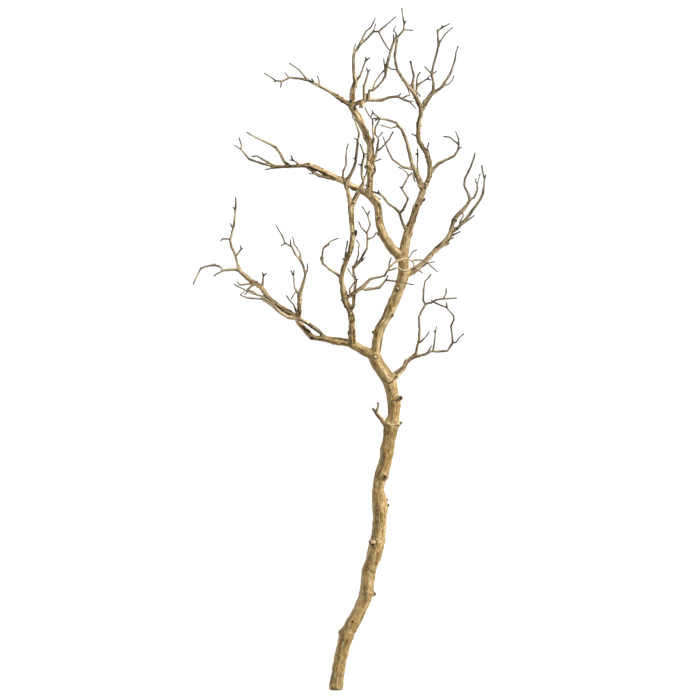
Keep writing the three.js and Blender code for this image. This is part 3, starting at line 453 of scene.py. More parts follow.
GRAIN_AND_PAINTED_RELIEF_TINTS = (
    Tint(Pattern.TONE, 0.36, 0.64, 1.0, WoodColour.WARM),
    Tint(Pattern.GIRTH, 8.0, 3.0, 0.3, WoodColour.LIMB),
    Tint(Pattern.GIRTH, 3.4, 0.9, 0.75, WoodColour.TWIG),
    Tint(Pattern.STREAK, 0.5, 0.39, 0.8, WoodColour.BROWN),
    Tint(Pattern.STREAK, 0.51, 0.61, 0.7, WoodColour.PALE),
    Tint(Pattern.FIBRE, 0.49, 0.39, 0.8, WoodColour.HOLLOW),
    Tint(Pattern.FIBRE, 0.53, 0.64, 0.5, WoodColour.PALE),
    Tint(Pattern.SPECK, 0.48, 0.34, 0.4, WoodColour.BROWN),
    Tint(Pattern.SPECK, 0.53, 0.68, 0.35, WoodColour.PALE),
    Tint(Pattern.SPECK, 0.44, 0.32, 0.9, WoodColour.HOLLOW, gathered=True),
    # Painted shade in the relief's hollows and a painted highlight on its ridges
    Tint(Pattern.RELIEF, -0.05, -0.6, 0.7, WoodColour.HOLLOW),
    Tint(Pattern.RELIEF, 0.05, 0.6, 0.45, WoodColour.PALE),
)
CUT_TINTS = (
    Tint(Pattern.RING, 0.1, 1.0, 0.5, WoodColour.BROWN),
    Tint(Pattern.REACH, 7 * MM, 9 * MM, 0.6, WoodColour.HOLLOW),
)
SCAR_AND_PAINTED_SHADING_TINTS = (
    Tint(Pattern.TIP, 0.0, 1.0, 0.9, WoodColour.WEATHERED),
    # Knots and painted shadows darkened; stub cores and painted highlights paled
    Tint(Pattern.EYE, 0.0, 1.0, 0.94, WoodColour.EYE),
    Tint(Pattern.EYE, 0.0, -1.0, 0.65, WoodColour.PALE),
)


@dataclass(frozen=True)
class PeeledManzanita:
    """Manzanita heartwood, peeled and sandblasted: matt golden tan, streaked along its grain.

    The soft wood is blown out between the hard fibres; the ridges have a painted highlight and the hollows
    painted shade. Knots and broken tips weather to dark brown and grey, and thin twigs keep an olive tint.
    """

    tone_size: float = 45 * MM
    patch_size: float = 26 * MM
    patch_edge: tuple[float, float] = (0.4, 0.56)  # of its noise
    warp_size: float = 30 * MM  # the grain sways in this length
    warp_reach: float = 5 * MM
    streak_width: float = 2.8 * MM
    streak_stretch: float = 9.0  # how many times a streak is longer than it is wide
    fibre_width: float = 1.8 * MM  # coarser than real fibres, so that they show
    fibre_stretch: float = 12.0
    speck_width: float = 1.2 * MM  # coarser than real specks, so that they show
    speck_stretch: float = 2.6
    noise_roughness: float = 0.55
    streak_girths: tuple[float, float] = (4.0, 8.0)  # radii in mm between which streaks grow fainter
    thick_streaks: float = 0.45  # their strength on the thickest wood
    twig_girths: tuple[float, float] = (0.9, 3.4)  # radii in mm of thin twigs and of limbs
    twig_saturation: float = 0.88  # thin twigs are greyer by this
    # Painted light on the limbs at the left and painted shade on those at the right, which the key lamp lights
    # more
    side_shading_girths: tuple[float, float] = (8.0, 5.0)  # radii in mm of wood left alone, and fully shaded
    side_shading_span: tuple[float, float] = (10 * MM, 140 * MM)  # across the branch
    left_painted_light: float = 1.18  # the colour's value at the span's start
    right_painted_shade: float = 0.62  # and at its end
    ring_width: float = 1.6 * MM
    roughness: float = 0.6
    ior: float = 1.5
    specular: float = 0.4
    bump: float = 0.5 * MM
    bump_strength: float = 0.9

    def material(self, butt: Vector) -> bpy.types.Material:
        """Make the wood's material.

        Args:
            butt: the middle of the cut butt, where the growth rings are centred.

        Returns:
            The material, which reads the wood's own attributes.
        """
        wood = bpy.data.materials.new("peeled_manzanita_wood")
        wood.use_nodes = True
        tree = wood.node_tree
        tree.nodes.clear()
        place = add_node(tree, "TexCoord").outputs["Object"]
        patterns = self._patterns(tree, place, butt)

        colour = linear(WoodColour.MID.value)
        for tint in GRAIN_AND_PAINTED_RELIEF_TINTS:
            colour = self._lay(tree, tint, patterns, colour)
        # Thin twigs greyed; painted light on the left limbs and painted shade on the right ones
        colour = self._grey_twigs_and_paint_side_shading(tree, place, patterns[Pattern.GIRTH], colour)
        end_grain = linear(WoodColour.END_GRAIN.value)
        for tint in CUT_TINTS:
            end_grain = self._lay(tree, tint, patterns, end_grain)
        cut = add_node(tree, "Attribute", {"attribute_name": "cut"}).outputs["Fac"]
        colour = add_node(tree, "Mix", {"data_type": "RGBA"}, {0: cut, 6: colour, 7: end_grain}).outputs[2]
        for tint in SCAR_AND_PAINTED_SHADING_TINTS:
            colour = self._lay(tree, tint, patterns, colour)

        grain = {0: patterns[Pattern.STREAK], 1: patterns[Pattern.FIBRE]}
        height = add_node(tree, "Math", {"operation": "ADD"}, grain).outputs[0]
        values = {"Strength": self.bump_strength, "Distance": self.bump, "Height": height}
        bump = add_node(tree, "Bump", None, values)
        shader = add_node(
            tree,
            "BsdfPrincipled",
            None,
            {
                "Base Color": colour,
                "Roughness": self.roughness,
                "IOR": self.ior,
                "Specular IOR Level": self.specular,
                "Normal": bump.outputs["Normal"],
            },
        )
        add_node(tree, "OutputMaterial", None, {"Surface": shader.outputs["BSDF"]})
        return wood

    def _patterns(
        self, tree: bpy.types.NodeTree, place: bpy.types.NodeSocket, butt: Vector
    ) -> dict[Pattern, bpy.types.NodeSocket]:
        """Make the patterns that the tints follow.

        Args:
            tree: the material's node tree.
            place: the point's place in the frame.
            butt: the middle of the cut butt.

        Returns:
            The socket of each pattern.
        """
        marks = {
            name: add_node(tree, "Attribute", {"attribute_name": name}).outputs["Fac"]
            for name in ("girth", "relief", "tip", "eye")
        }
        thin, thick = self.streak_girths
        limits = {"From Min": thin, "From Max": thick, "To Min": 1.0, "To Max": self.thick_streaks}
        strength = add_node(tree, "MapRange", None, {"Value": marks["girth"], **limits}).outputs["Result"]
        streak = self._grain_noise(tree, place, self.streak_width, self.streak_stretch)
        fibre = self._grain_noise(tree, place, self.fibre_width, self.fibre_stretch)
        soft = {"Vector": place, "Roughness": self.noise_roughness}
        tone = add_node(tree, "TexNoise", None, {**soft, "Scale": 1 / self.tone_size, "Detail": 2.0})
        patch = add_node(tree, "TexNoise", None, {**soft, "Scale": 1 / self.patch_size, "Detail": 1.0})
        relief = add_node(tree, "Math", {"operation": "MULTIPLY"}, {0: marks["relief"], 1: strength})
        reach = add_node(tree, "VectorMath", {"operation": "DISTANCE"}, {0: place, 1: butt}).outputs["Value"]
        turns = add_node(tree, "Math", {"operation": "MULTIPLY"}, {0: reach, 1: math.tau / self.ring_width})
        rings = add_node(tree, "Math", {"operation": "SINE"}, {0: turns.outputs[0]})
        return {
            Pattern.TONE: tone.outputs["Fac"],
            Pattern.PATCH: patch.outputs["Fac"],
            Pattern.GIRTH: marks["girth"],
            Pattern.STREAK: self._about_half(tree, streak, strength),
            Pattern.FIBRE: self._about_half(tree, fibre, strength),
            Pattern.SPECK: self._grain_noise(tree, place, self.speck_width, self.speck_stretch),
            Pattern.RELIEF: relief.outputs[0],
            Pattern.TIP: marks["tip"],
            Pattern.EYE: marks["eye"],
            Pattern.RING: rings.outputs[0],
            Pattern.REACH: reach,
        }

    def _lay(
        self,
        tree: bpy.types.NodeTree,
        tint: Tint,
        patterns: dict[Pattern, bpy.types.NodeSocket],
        under: Any,
    ) -> bpy.types.NodeSocket:
        """Lay a tint over a colour.

        Args:
            tree: the material's node tree.
            tint: the tint.
            patterns: the socket of each pattern.
            under: the colour, or its socket.

        Returns:
            The socket of the tinted colour.
        """
        smooth = {"interpolation_type": "SMOOTHSTEP"}
        limits = {"From Min": tint.low, "From Max": tint.high, "To Min": 0.0, "To Max": tint.most}
        values = {"Value": patterns[tint.pattern], **limits}
        share = add_node(tree, "MapRange", smooth, values).outputs["Result"]
        if tint.gathered:
            low, high = self.patch_edge
            values = {"Value": patterns[Pattern.PATCH], "From Min": low, "From Max": high}
            patch = add_node(tree, "MapRange", smooth, values).outputs["Result"]
            share = add_node(tree, "Math", {"operation": "MULTIPLY"}, {0: share, 1: patch}).outputs[0]
        over = linear(tint.colour.value)
        return add_node(tree, "Mix", {"data_type": "RGBA"}, {0: share, 6: under, 7: over}).outputs[2]

    def _grey_twigs_and_paint_side_shading(
        self,
        tree: bpy.types.NodeTree,
        place: bpy.types.NodeSocket,
        girth: bpy.types.NodeSocket,
        colour: bpy.types.NodeSocket,
    ) -> bpy.types.NodeSocket:
        """Grey the thin twigs, and paint light on the limbs at the left and shade on those at the right.

        Args:
            tree: the material's node tree.
            place: the point's place in the frame.
            girth: the wood's radius in millimetres.
            colour: the wood's colour before the twigs are greyed and the limbs side shaded.

        Returns:
            The socket of the greyed and side-shaded colour.
        """
        smooth = {"interpolation_type": "SMOOTHSTEP"}
        twig, limb = self.twig_girths
        limits = {"From Min": twig, "From Max": limb, "To Min": self.twig_saturation, "To Max": 1.0}
        saturation = add_node(tree, "MapRange", smooth, {"Value": girth, **limits}).outputs["Result"]
        across = add_node(tree, "SeparateXYZ", None, {"Vector": place}).outputs["X"]
        # Painted side shading: lighter limbs at the left, darker at the right, where the key lamp falls
        start, end = self.side_shading_span
        limits = {"From Min": start, "From Max": end, "To Min": self.left_painted_light, "To Max": self.right_painted_shade}
        side_shading = add_node(tree, "MapRange", None, {"Value": across, **limits}).outputs["Result"]
        fresh, faded = self.side_shading_girths
        values = {"Value": girth, "From Min": fresh, "From Max": faded}
        limbs = add_node(tree, "MapRange", smooth, values).outputs["Result"]
        value = add_node(tree, "Mix", {"data_type": "FLOAT"}, {0: limbs, 2: 1.0, 3: side_shading}).outputs[0]
        values = {"Color": colour, "Saturation": saturation, "Value": value}
        return add_node(tree, "HueSaturation", None, values).outputs["Color"]

    def _grain_noise(
        self, tree: bpy.types.NodeTree, place: bpy.types.NodeSocket, size: float, stretch: float
    ) -> bpy.types.NodeSocket:
        """A noise on coordinates in which a limb is short, so that its patches run along the grain.

        Args:
            tree: the material's node tree.
            place: the point's place in the frame.
            size: a patch's width.
            stretch: how many times a patch is longer than it is wide.

        Returns:
            The socket of the noise.
        """
        add = {"operation": "MULTIPLY_ADD"}
        grain = add_node(tree, "Attribute", {"attribute_name": "grain"}).outputs["Vector"]
        along = add_node(tree, "VectorMath", add, {0: place, 1: (1 / stretch,) * 3, 2: grain}).outputs[0]
        sway = add_node(tree, "TexNoise", None, {"Vector": place, "Scale": 1 / self.warp_size, "Detail": 1.0})
        values = {0: sway.outputs["Color"], 1: (self.warp_reach,) * 3, 2: along}
        swayed = add_node(tree, "VectorMath", add, values).outputs[0]
        values = {"Vector": swayed, "Scale": 1 / size, "Detail": 2.0, "Roughness": self.noise_roughness}
        return add_node(tree, "TexNoise", None, values).outputs["Fac"]

    def _about_half(
        self, tree: bpy.types.NodeTree, value: bpy.types.NodeSocket, strength: bpy.types.NodeSocket
    ) -> bpy.types.NodeSocket:
        """Draw a noise closer to its middle value of a half by a strength below 1."""
        off = add_node(tree, "Math", {"operation": "SUBTRACT"}, {0: value, 1: 0.5}).outputs[0]
        return add_node(tree, "Math", {"operation": "MULTIPLY_ADD"}, {0: off, 1: strength, 2: 0.5}).outputs[0]


@dataclass
class Wood:
    """The whole branch as one rounded surface, before it is parted into limbs."""

    nodes: dict[str, bpy.types.Object]
    voxel: float = 0.55 * MM
    weld: float = 0.001 * MM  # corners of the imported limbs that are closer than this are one
    nub_sides: int = 8
    swell: float = 0.2 * MM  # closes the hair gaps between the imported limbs
    passes_per_mm: float = 4.2  # rounding for each millimetre of the wood's radius
    give_back: float = 0.012  # what rounding takes from thick wood, as a share of its radius
    look_in: float = 0.01 * MM  # the wood's thickness is measured from this far under its surface
    rounding_passes: int = 6  # evening of the measured radius before the wood is rounded
    carving_passes: int = 40  # and before it is carved
    lie_passes: int = 4  # evening of the directions that the grain is drawn on
    least_lie: float = 0.05  # of their length, where they cancel out
    stretch: float = 7.0  # how many times a ridge is longer than it is wide
    ridge_width: float = 5.5 * MM
    ridge_weight: float = 0.9
    cord_width: float = 2.4 * MM
    cord_weight: float = 0.6
    lump_size: float = 8 * MM
    relief_share: float = 0.13  # greatest ridge height as a share of the wood's radius
    relief_limit: float = 0.52 * MM  # and at most this
    calm: float = 0.5  # ridges are lower by this share on the thickest wood
    calm_girths: tuple[float, float] = (6 * MM, 9 * MM)
    lump_share: float = 0.26
    lump_limit: float = 0.9 * MM
    grain_girth: float = 6 * MM  # wood of this radius has streaks of the stated width, thin wood finer ones
    bud_count: int = 420
    bud_girths: tuple[float, float] = (1.1 * MM, 5.5 * MM)
    bud_seed: int = 11
    bud_share: float = 0.55  # a scar's half width as a share of the wood's radius
    bud_least: float = 0.5 * MM  # and this much more
    bud_reach: float = 2.0  # half widths
    bud_bump: Band = Band(0.3, 1.3, 0.2)
    bud_painted_shade: Band = Band(0.6, 0.7, 0.2)
    bud_shade: tuple[float, float, float] = (0.5, 0.7, 0.0)  # the painted shade's middle lies this far back
    widest: float = 12 * MM  # no limb is thicker than twice this
    butt: Vector = field(default_factory=lambda: SURVEY.point(336, 690, 9.6))
    cut_depth: float = 0.9 * MM
    cut_edge: float = 0.5 * MM
    rim_width: float = 1.3 * MM  # the dark edge that sawing left around the cut
    rim_dark: float = 0.7
    rim_fade: float = 0.6  # towards the cut's face
    tip_length: float = 11 * MM  # how far down a twig its broken tip has weathered
    tip_full: float = 2.2 * MM  # and how far it has weathered fully
    tip_girths: tuple[float, float] = (3.0 * MM, 1.6 * MM)  # thicker stubs don't weather
    knot_reach: float = 3.0  # half widths
    knot_depth: float = 2.0  # how many times deeper than wide, so that it goes round a limb's side
    knot_ring: float = 0.34  # half the width of its ring, in half widths
    raggedness: float = 0.3  # of a knot's rim
    rag_size: float = 0.5  # half widths
    tip_rings: int = 6  # a tip is the farthest point from the butt within this many faces
    surface: bpy.types.Object | None = None
    limb_names: list[str] = field(default_factory=list)

    def build(self) -> None:
        """Copy the limbs, add their nubs, and blend all into one surface with its attributes."""
        self._copy_limbs()
        for nub in NUBS:
            self._add_nub(nub)
        self._join()
        labels = self._skin()
        owners = [face.material_index for face in self.surface.data.polygons]
        self.limb_names = [slot.material.name for slot in self.surface.material_slots]
        self._blend()
        self._carve()
        self._label(labels, owners)

    def _copy_limbs(self) -> None:
        """Copy each packed limb, and mark the copy with a material of the limb's name."""
        bpy.ops.object.select_all(action="DESELECT")
        for node in self.nodes.values():
            node.select_set(True)
        bpy.context.view_layer.objects.active = next(iter(self.nodes.values()))
        bpy.ops.object.duplicate()
        bpy.ops.object.parent_clear(type="CLEAR_KEEP_TRANSFORM")
        for copy in bpy.context.selected_objects:
            limb = copy["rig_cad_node"]
            for key in list(copy.keys()):
                del copy[key]
            copy.name = "copy_" + limb
            copy.data.materials.clear()
            copy.data.materials.append(bpy.data.materials.new(limb))

    def _add_nub(self, nub: Nub) -> None:
        """Add a tapered nub, with its foot a little inside the wood.

        Args:
            nub: the nub's place and widths.
        """
        foot, tip = SURVEY.point(*nub.foot), SURVEY.point(*nub.tip)
        way = tip - foot
        others = list(bpy.context.selected_objects)
        bpy.ops.mesh.primitive_cone_add(
            vertices=self.nub_sides,
            radius1=nub.foot_half * SURVEY.pixel,
            radius2=nub.tip_half * SURVEY.pixel,
            depth=way.length,
            location=(foot + tip) / 2,
            rotation=way.to_track_quat("Z", "Y").to_euler(),
        )
        cone = bpy.context.object
        cone.data.materials.append(bpy.data.materials[nub.limb])
        for other in others:
            other.select_set(True)

    def _join(self) -> None:
        """Join the copies and the nubs, and merge their loose corners."""
        bpy.context.view_layer.objects.active = bpy.data.objects["copy_trunk"]
        bpy.ops.object.join()
        self.surface = bpy.context.object
        self.surface.name = "wood_surface"
        bpy.ops.object.transform_apply(location=True, rotation=True, scale=True)
        bpy.ops.object.mode_set(mode="EDIT")
        bpy.ops.mesh.select_all(action="SELECT")
        bpy.ops.mesh.remove_doubles(threshold=self.weld)
        bpy.ops.object.mode_set(mode="OBJECT")

    def _modify(self, kind: str, **settings: Any) -> None:
        """Add a modifier to the surface and apply it.

        Args:
            kind: the modifier's type.
            settings: its properties by name.
        """
        modifier = self.surface.modifiers.new(kind.lower(), kind)
        for name, value in settings.items():
            setattr(modifier, name, value)
        bpy.ops.object.modifier_apply(modifier=modifier.name)

    def _blend(self) -> None:
        """Swell the faceted limbs until they meet, and round them into one skin."""
        self._modify("DISPLACE", direction="NORMAL", strength=self.swell, mid_level=0.0)
        self._modify("REMESH", mode="VOXEL", voxel_size=self.voxel, use_smooth_shade=True)
        self._soften()

    def _soften(self) -> None:
        """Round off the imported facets, with more passes where the wood is thicker."""
        points, normals, edges = self._read()
        girth = self._settle(self._girth(points, normals)[:, None], edges, self.rounding_passes)
        passes = self.passes_per_mm * girth / MM
        for step in range(math.ceil(passes.max())):
            share = np.clip(passes - step, 0, 1)
            points += share * (self._settle(points, edges, 1) - points)
        self._write(points)
        normals = self._read()[1]
        self._write(points + normals * girth * self.give_back)

    def _write(self, points: np.ndarray) -> None:
        """Move the surface's points."""
        self.surface.data.vertices.foreach_set("co", points.ravel())
        self.surface.data.update()

    def _read(self) -> tuple[np.ndarray, np.ndarray, np.ndarray]:
        """Read the surface's points, normals and edges as arrays."""
        mesh = self.surface.data
        points = np.empty(len(mesh.vertices) * 3)
        normals = np.empty(len(mesh.vertices) * 3)
        edges = np.empty(len(mesh.edges) * 2, dtype=np.int64)
        mesh.vertices.foreach_get("co", points)
        mesh.vertices.foreach_get("normal", normals)
        mesh.edges.foreach_get("vertices", edges)
        return points.reshape(-1, 3), normals.reshape(-1, 3), edges.reshape(-1, 2)

    def _settle(self, values: np.ndarray, edges: np.ndarray, passes: int) -> np.ndarray:
        """Average each point's values with its neighbours', some times over.

        Args:
            values: one row for each point.
            edges: the pairs of points that are neighbours.
            passes: how many times.

        Returns:
            The settled values.
        """
        count = len(values)
        here, there = edges[:, 0], edges[:, 1]
        beside = np.bincount(here, minlength=count) + np.bincount(there, minlength=count)
        for _ in range(passes):
            columns = []
            for column in values.T:
                total = np.bincount(here, column[there], count) + np.bincount(there, column[here], count)
                columns.append((column + total / beside) / 2)
            values = np.stack(columns, axis=1)
        return values

    def _skin(self) -> BVHTree:
        """The surface as a search tree."""
        return BVHTree.FromObject(self.surface, bpy.context.evaluated_depsgraph_get())

    def _girth(self, points: np.ndarray, normals: np.ndarray) -> np.ndarray:
        """Half the wood's thickness under each point, found by looking straight in.

        Args:
            points: the surface's points.
            normals: their outward directions.

        Returns:
            One half thickness for each point.
        """
        skin = self._skin()
        inside = points - normals * self.look_in
        depths = []
        for start, way in zip(inside.tolist(), (-normals).tolist()):
            depth = skin.ray_cast(start, way, 2 * self.widest)[3]
            depths.append(self.widest if depth is None else depth / 2)
        return np.array(depths)

    def _along(self, points: np.ndarray, edges: np.ndarray) -> np.ndarray:
        """How far each point is from the butt, over the surface.

        Args:
            points: the surface's points.
            edges: the pairs of points that are neighbours.

        Returns:
            One distance for each point, which is infinite where the surface isn't joined to the butt.
        """
        both = np.concatenate([edges, edges[:, ::-1]])
        both = both[np.argsort(both[:, 0], kind="stable")]
        lengths = np.linalg.norm(points[both[:, 0]] - points[both[:, 1]], axis=1).tolist()
        first = np.searchsorted(both[:, 0], np.arange(len(points) + 1)).tolist()
        beside = both[:, 1].tolist()
        along = [math.inf] * len(points)
        start = int(points[:, 1].argmin())
        along[start] = 0.0
        queue = [(0.0, start)]
        while queue:
            so_far, here = heapq.heappop(queue)
            if so_far > along[here]:
                continue
            for step in range(first[here], first[here + 1]):
                there, total = beside[step], so_far + lengths[step]
                if total < along[there]:
                    along[there] = total
                    heapq.heappush(queue, (total, there))
        return np.array(along)

    def _to_tips(self, points: np.ndarray, edges: np.ndarray) -> np.ndarray:
        """How far each point is from the nearest twig tip.

        Args:
            points: the surface's points.
            edges: the pairs of points that are neighbours.

        Returns:
            One distance for each point.
        """
        along = self._along(points, edges)
        farthest = along.copy()
        for _ in range(self.tip_rings):
            around = farthest.copy()
            np.maximum.at(around, edges[:, 0], farthest[edges[:, 1]])
            np.maximum.at(around, edges[:, 1], farthest[edges[:, 0]])
            farthest = around
        tips = points[(along == farthest) & np.isfinite(along)]
        search = self._search(tips)
        LOG.info("%d twig tips", len(tips))
        return np.fromiter((search.find(p)[2] for p in points.tolist()), float, len(points))

    def _search(self, points: np.ndarray) -> KDTree:
        """A tree that finds the points near a place."""
        search = KDTree(len(points))
        for number, point in enumerate(points.tolist()):
            search.insert(point, number)
        search.balance()
        return search

    def _waves(self, points: np.ndarray, size: float) -> np.ndarray:
        """Noise with patches of a real size, at each point."""
        return np.fromiter((noise.noise(p) for p in (points / size).tolist()), float, len(points))

    def _carve(self) -> None:
        """Raise the sinewy ridges and the knots, and keep what the finish needs as attributes."""
        points, normals, edges = self._read()
        girth = self._settle(self._girth(points, normals)[:, None], edges, self.carving_passes)[:, 0]
        lie = self._settle(normals, edges, self.lie_passes)
        lie /= np.maximum(np.linalg.norm(lie, axis=1, keepdims=True), self.least_lie)
        grain = lie * np.sqrt(girth * self.grain_girth)[:, None]

        fibres = lie * girth[:, None] + points / self.stretch
        relief = self.ridge_weight * self._waves(fibres, self.ridge_width)
        relief += self.cord_weight * self._waves(fibres, self.cord_width)
        lumps = self._waves(points, self.lump_size)
        rise = np.minimum(girth * self.relief_share, self.relief_limit) * relief
        rise *= 1 - self.calm * smooth_step(girth, *self.calm_girths)
        rise += np.minimum(girth * self.lump_share, self.lump_limit) * lumps
        eye = np.zeros(len(points))
        search = self._search(points)
        self._set_buds(search, points, girth, rise, eye)
        for knot in KNOTS_AND_PAINTED_SHADING:
            self._set_knot(knot, search, points, rise, eye)
        face = self.butt.y + self.cut_depth
        cut = smooth_step(points[:, 1], face + self.cut_edge, face)
        rise *= 1 - cut
        rim = self.rim_dark * smooth_step(points[:, 1], face + self.rim_width, face)
        rim *= 1 - self.rim_fade * cut
        eye = np.where(rim > 0, np.maximum(eye, rim), eye)
        tip = smooth_step(self._to_tips(points, edges), self.tip_length, self.tip_full)
        tip *= smooth_step(girth, *self.tip_girths)

        self._write(points + normals * rise[:, None])
        self._keep("grain", "FLOAT_VECTOR", "vector", grain)
        self._keep("girth", "FLOAT", "value", girth / MM)
        self._keep("relief", "FLOAT", "value", relief)
        self._keep("eye", "FLOAT", "value", eye)
        self._keep("tip", "FLOAT", "value", tip)
        self._keep("cut", "FLOAT", "value", cut)

    def _set_buds(
        self, search: KDTree, points: np.ndarray, girth: np.ndarray, rise: np.ndarray, eye: np.ndarray
    ) -> None:
        """Scatter lost buds' scars along the thinner limbs, each a low bump with painted shade on one side.

        Args:
            search: the surface's points as a search tree.
            points: the surface's points.
            girth: the wood's radius under each point.
            rise: how far each point is raised, changed in place.
            eye: how dark each point is painted, changed in place.
        """
        chance = np.random.default_rng(self.bud_seed)
        thin, thick = self.bud_girths
        bearing = np.flatnonzero((girth > thin) & (girth < thick))
        for number in chance.choice(bearing, self.bud_count, replace=False):
            half = self.bud_share * girth[number] + self.bud_least
            near = [found[1] for found in search.find_range(points[number], self.bud_reach * half)]
            away = (points[near] - points[number]) / half
            rise[near] += half * self.bud_bump.at(np.linalg.norm(away, axis=1))
            # The scar's side away from the key lamp gets painted shade
            dark = self.bud_painted_shade.at(np.linalg.norm(away + self.bud_shade, axis=1))
            eye[near] = np.maximum(eye[near], dark)

    def _keep(self, name: str, kind: str, part: str, values: np.ndarray) -> None:
        """Store values on the surface's points as a named attribute."""
        attribute = self.surface.data.attributes.new(name, kind, "POINT")
        attribute.data.foreach_set(part, values.astype(np.float32).ravel())

    def _set_knot(
        self, knot: Knot, search: KDTree, points: np.ndarray, rise: np.ndarray, eye: np.ndarray
    ) -> None:
        """Add a knot's swelling to the rise of the points around it, and darken its eye.

        Args:
            knot: the knot.
            search: the surface's points as a search tree.
            points: the surface's points.
            rise: how far each point is raised, changed in place.
            eye: how dark each point is painted, below zero pale, changed in place.
        """
        middle = search.find(SURVEY.point(knot.x, knot.y, knot.height))[0]
        half = knot.half_width * SURVEY.pixel
        reach = self.knot_reach * half * max(knot.spread)
        near = [found[1] for found in search.find_range(middle, reach)]
        away = (points[near] - middle) / (*knot.spread, self.knot_depth)
        ragged = 1 + self.raggedness * self._waves(points[near], self.rag_size * half)
        distances = np.linalg.norm(away, axis=1) / half * ragged
        ring = np.exp(-(((distances - 1) / self.knot_ring) ** 2))
        form = knot.kind.value
        rise[near] += half * (form.swell.at(distances) - form.hollow.at(distances) - form.ring_depth * ring)
        if form.painted_highlight.amount:  # a painted highlight also takes off what was painted dark around it
            eye[near] = np.minimum(eye[near], -form.painted_highlight.at(distances))
        else:
            dark = np.maximum(form.dark.at(distances), form.halo.at(distances))
            dark = np.maximum(dark, form.ring_dark * ring)
            eye[near] = np.maximum(eye[near], dark) - form.core.at(distances)

    def _label(self, labels: BVHTree, owners: list[int]) -> None:
        """Give each face of the surface the material of the limb that it lies on.

        Args:
            labels: the joined limbs before they were blended, as a search tree.
            owners: the limb's number for each of their faces.
        """
        mesh = self.surface.data
        middles = np.empty(len(mesh.polygons) * 3)
        mesh.polygons.foreach_get("center", middles)
        found = [owners[labels.find_nearest(p)[2]] for p in middles.reshape(-1, 3).tolist()]
        mesh.materials.clear()
        for limb in self.limb_names:
            mesh.materials.append(bpy.data.materials[limb])
        mesh.polygons.foreach_set("material_index", found)
        mesh.update()


@dataclass
class Limbs:
    """The limbs, parted from the wood's surface and closed where they were cut from each other."""

    wood: Wood
    finish: PeeledManzanita
    slots: dict[str, str]
    smooth_angle: float = math.radians(50)
    most_triangles: int = 180_000  # in one limb's mesh

    def build(self) -> None:
        """Part the surface by limb, close each limb, and dress it."""
        material = self.finish.material(self.wood.butt)
        bpy.ops.object.select_all(action="DESELECT")
        self.wood.surface.select_set(True)
        bpy.context.view_layer.objects.active = self.wood.surface
        bpy.ops.object.mode_set(mode="EDIT")
        bpy.ops.mesh.separate(type="MATERIAL")
        bpy.ops.object.mode_set(mode="OBJECT")
        parted = {piece.material_slots[0].material.name: piece for piece in bpy.context.selected_objects}
        for limb, parts in sorted(parted.items()):
            piece = self._without_flakes(parts)
            self._close(piece)
            self._thin(piece)
            self._dress(limb, piece, material)
        for limb in parted:
            bpy.data.materials.remove(bpy.data.materials[limb])

    def _without_flakes(self, parts: bpy.types.Object) -> bpy.types.Object:
        """Drop the loose flakes that parting left beside a limb.

        Args:
            parts: all that was parted by the limb's name.

        Returns:
            The limb alone, selected and active.
        """
        bpy.ops.object.select_all(action="DESELECT")
        parts.select_set(True)
        bpy.context.view_layer.objects.active = parts
        bpy.ops.object.mode_set(mode="EDIT")
        bpy.ops.mesh.separate(type="LOOSE")
        bpy.ops.object.mode_set(mode="OBJECT")
        *flakes, piece = sorted(bpy.context.selected_objects, key=lambda part: len(part.data.polygons))
        for flake in flakes:
            bpy.data.objects.remove(flake)
        bpy.context.view_layer.objects.active = piece
        return piece

    def _close(self, piece: bpy.types.Object) -> None:
        """Close the open ends that parting left.

        Args:
            piece: the limb, selected and active.
        """
        bpy.ops.object.mode_set(mode="EDIT")
        bpy.ops.mesh.select_mode(type="EDGE")
        bpy.ops.mesh.select_all(action="SELECT")
        bpy.ops.mesh.fill_holes(sides=0)
        bpy.ops.mesh.select_all(action="SELECT")
        bpy.ops.mesh.normals_make_consistent(inside=False)
        bpy.ops.object.mode_set(mode="OBJECT")

    def _thin(self, piece: bpy.types.Object) -> None:
        """Merge the flattest faces of a limb that has too many, and shade it smooth.

        Args:
            piece: the limb, selected and active.
        """
        triangles = self._triangles(piece)
        if triangles > self.most_triangles:
            modifier = piece.modifiers.new("thin", "DECIMATE")
            modifier.ratio = self.most_triangles / triangles
            bpy.ops.object.modifier_apply(modifier=modifier.name)
        bpy.ops.object.shade_smooth_by_angle(angle=self.smooth_angle)

    def _triangles(self, piece: bpy.types.Object) -> int:
        """Count a piece's triangles."""
        return sum(len(face.vertices) - 2 for face in piece.data.polygons)

    def _dress(self, limb: str, piece: bpy.types.Object, material: bpy.types.Material) -> None:
        """Name a limb, give it its wood, and set it in its node's place.

        Args:
            limb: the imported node's name.
            piece: the limb.
            material: the wood.
        """
        piece.name = limb + "_wood"
        piece.data.name = piece.name
        piece.data.materials.clear()
        piece.data.materials.append(material)
        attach(piece, "root")
        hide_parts(limb)
        LOG.info("%s: %d triangles", piece.name, self._triangles(piece))


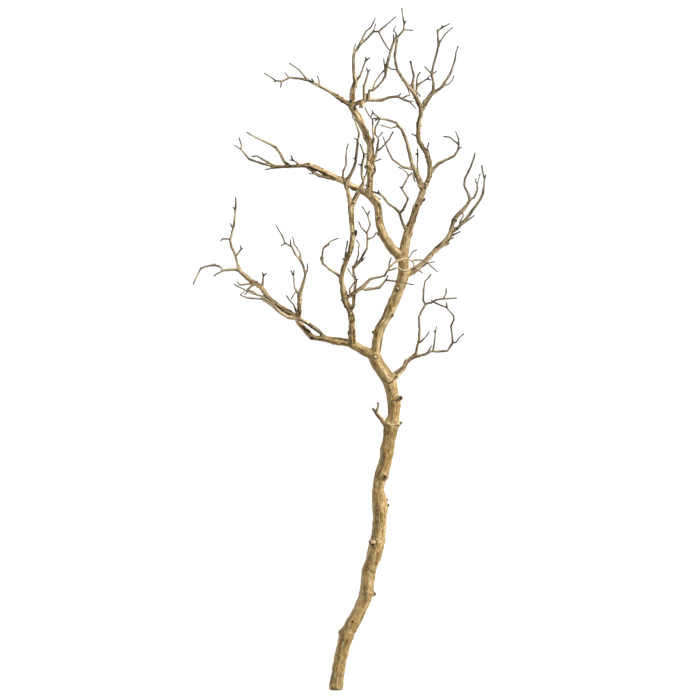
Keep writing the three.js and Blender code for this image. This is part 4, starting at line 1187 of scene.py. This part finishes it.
@dataclass
class Studio:
    """The pale table, the soft light from the upper right, and the camera straight above."""

    floor_side: float = 14.0
    floor_colour: str = "#75746f"
    floor_roughness: float = 0.9
    camera_distance: float = 30.0
    sensor: float = 36.0  # mm
    key_place: tuple[float, float, float] = (7.2, 4.6, 6.2)
    key_power: float = 1500.0
    fill_place: tuple[float, float, float] = (-9.6, 1.2, 2.6)
    fill_power: float = 230.0
    lamp_size: float = 4.0
    sky_strength: float = 0.05
    floor_glow: float = 0.97  # the table is opal glass lit from below, as for a picture on white

    def build(self) -> None:
        """Set up the floor, the light and the camera."""
        self._floor()
        self._light()
        self._camera()

    def _floor(self) -> None:
        """Lay the table's surface at the height that the branch rests on."""
        bpy.ops.mesh.primitive_plane_add(size=self.floor_side)
        floor = bpy.context.object
        floor.name = "table"
        # Opal glass lit from below: an even white that takes hardly any shadow.
        opal = bpy.data.materials.new("opal_glass_light_table")
        opal.use_nodes = True
        shader = opal.node_tree.nodes["Principled BSDF"]
        shader.inputs["Base Color"].default_value = linear(self.floor_colour)
        shader.inputs["Roughness"].default_value = self.floor_roughness
        shader.inputs["Emission Color"].default_value = (1, 1, 1, 1)
        shader.inputs["Emission Strength"].default_value = self.floor_glow
        floor.data.materials.append(opal)

    def _light(self) -> None:
        """Light the branch with two broad lamps and an even white sky."""
        self._lamp("key_light", self.key_place, self.key_power)
        self._lamp("fill_light", self.fill_place, self.fill_power)
        world = bpy.data.worlds.new("white_room")
        world.use_nodes = True
        sky = world.node_tree.nodes["Background"]
        sky.inputs["Color"].default_value = (1, 1, 1, 1)
        sky.inputs["Strength"].default_value = self.sky_strength
        bpy.context.scene.world = world
        bpy.context.scene.view_settings.view_transform = "Standard"

    def _lamp(self, name: str, place: tuple[float, float, float], power: float) -> None:
        """Hang a broad lamp that faces the branch.

        Args:
            name: the lamp's name.
            place: where it hangs.
            power: its power in watts.
        """
        bpy.ops.object.light_add(type="AREA", location=place)
        lamp = bpy.context.object
        lamp.name = name
        lamp.data.size = self.lamp_size
        lamp.data.energy = power
        lamp.rotation_euler = (-Vector(place)).to_track_quat("-Z", "Y").to_euler()

    def _camera(self) -> None:
        """Set the camera straight above the photograph's middle."""
        middle = SURVEY.side / 2
        bpy.ops.object.camera_add(location=SURVEY.point(middle, middle, self.camera_distance / MM))
        camera = bpy.context.object
        camera.name = "camera_above"
        camera.rotation_euler = (0, 0, 0)
        camera.data.sensor_width = self.sensor
        camera.data.lens = self.sensor * self.camera_distance / (SURVEY.side * SURVEY.pixel)
        camera.data.clip_end = 2 * self.camera_distance
        bpy.context.scene.camera = camera


def main() -> None:
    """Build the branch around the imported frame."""
    logging.basicConfig(level=logging.INFO, format="%(relativeCreated)d ms %(name)s: %(message)s")
    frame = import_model()
    slots = {part["node"]: part["material_slot"] for part in frame["record"]["subparts"]}
    wood = Wood(frame["nodes"])
    wood.build()
    LOG.info("%s: %d faces", wood.surface.name, len(wood.surface.data.polygons))
    Limbs(wood, PeeledManzanita(), slots).build()
    Studio().build()


if __name__ == "__main__":
    main()
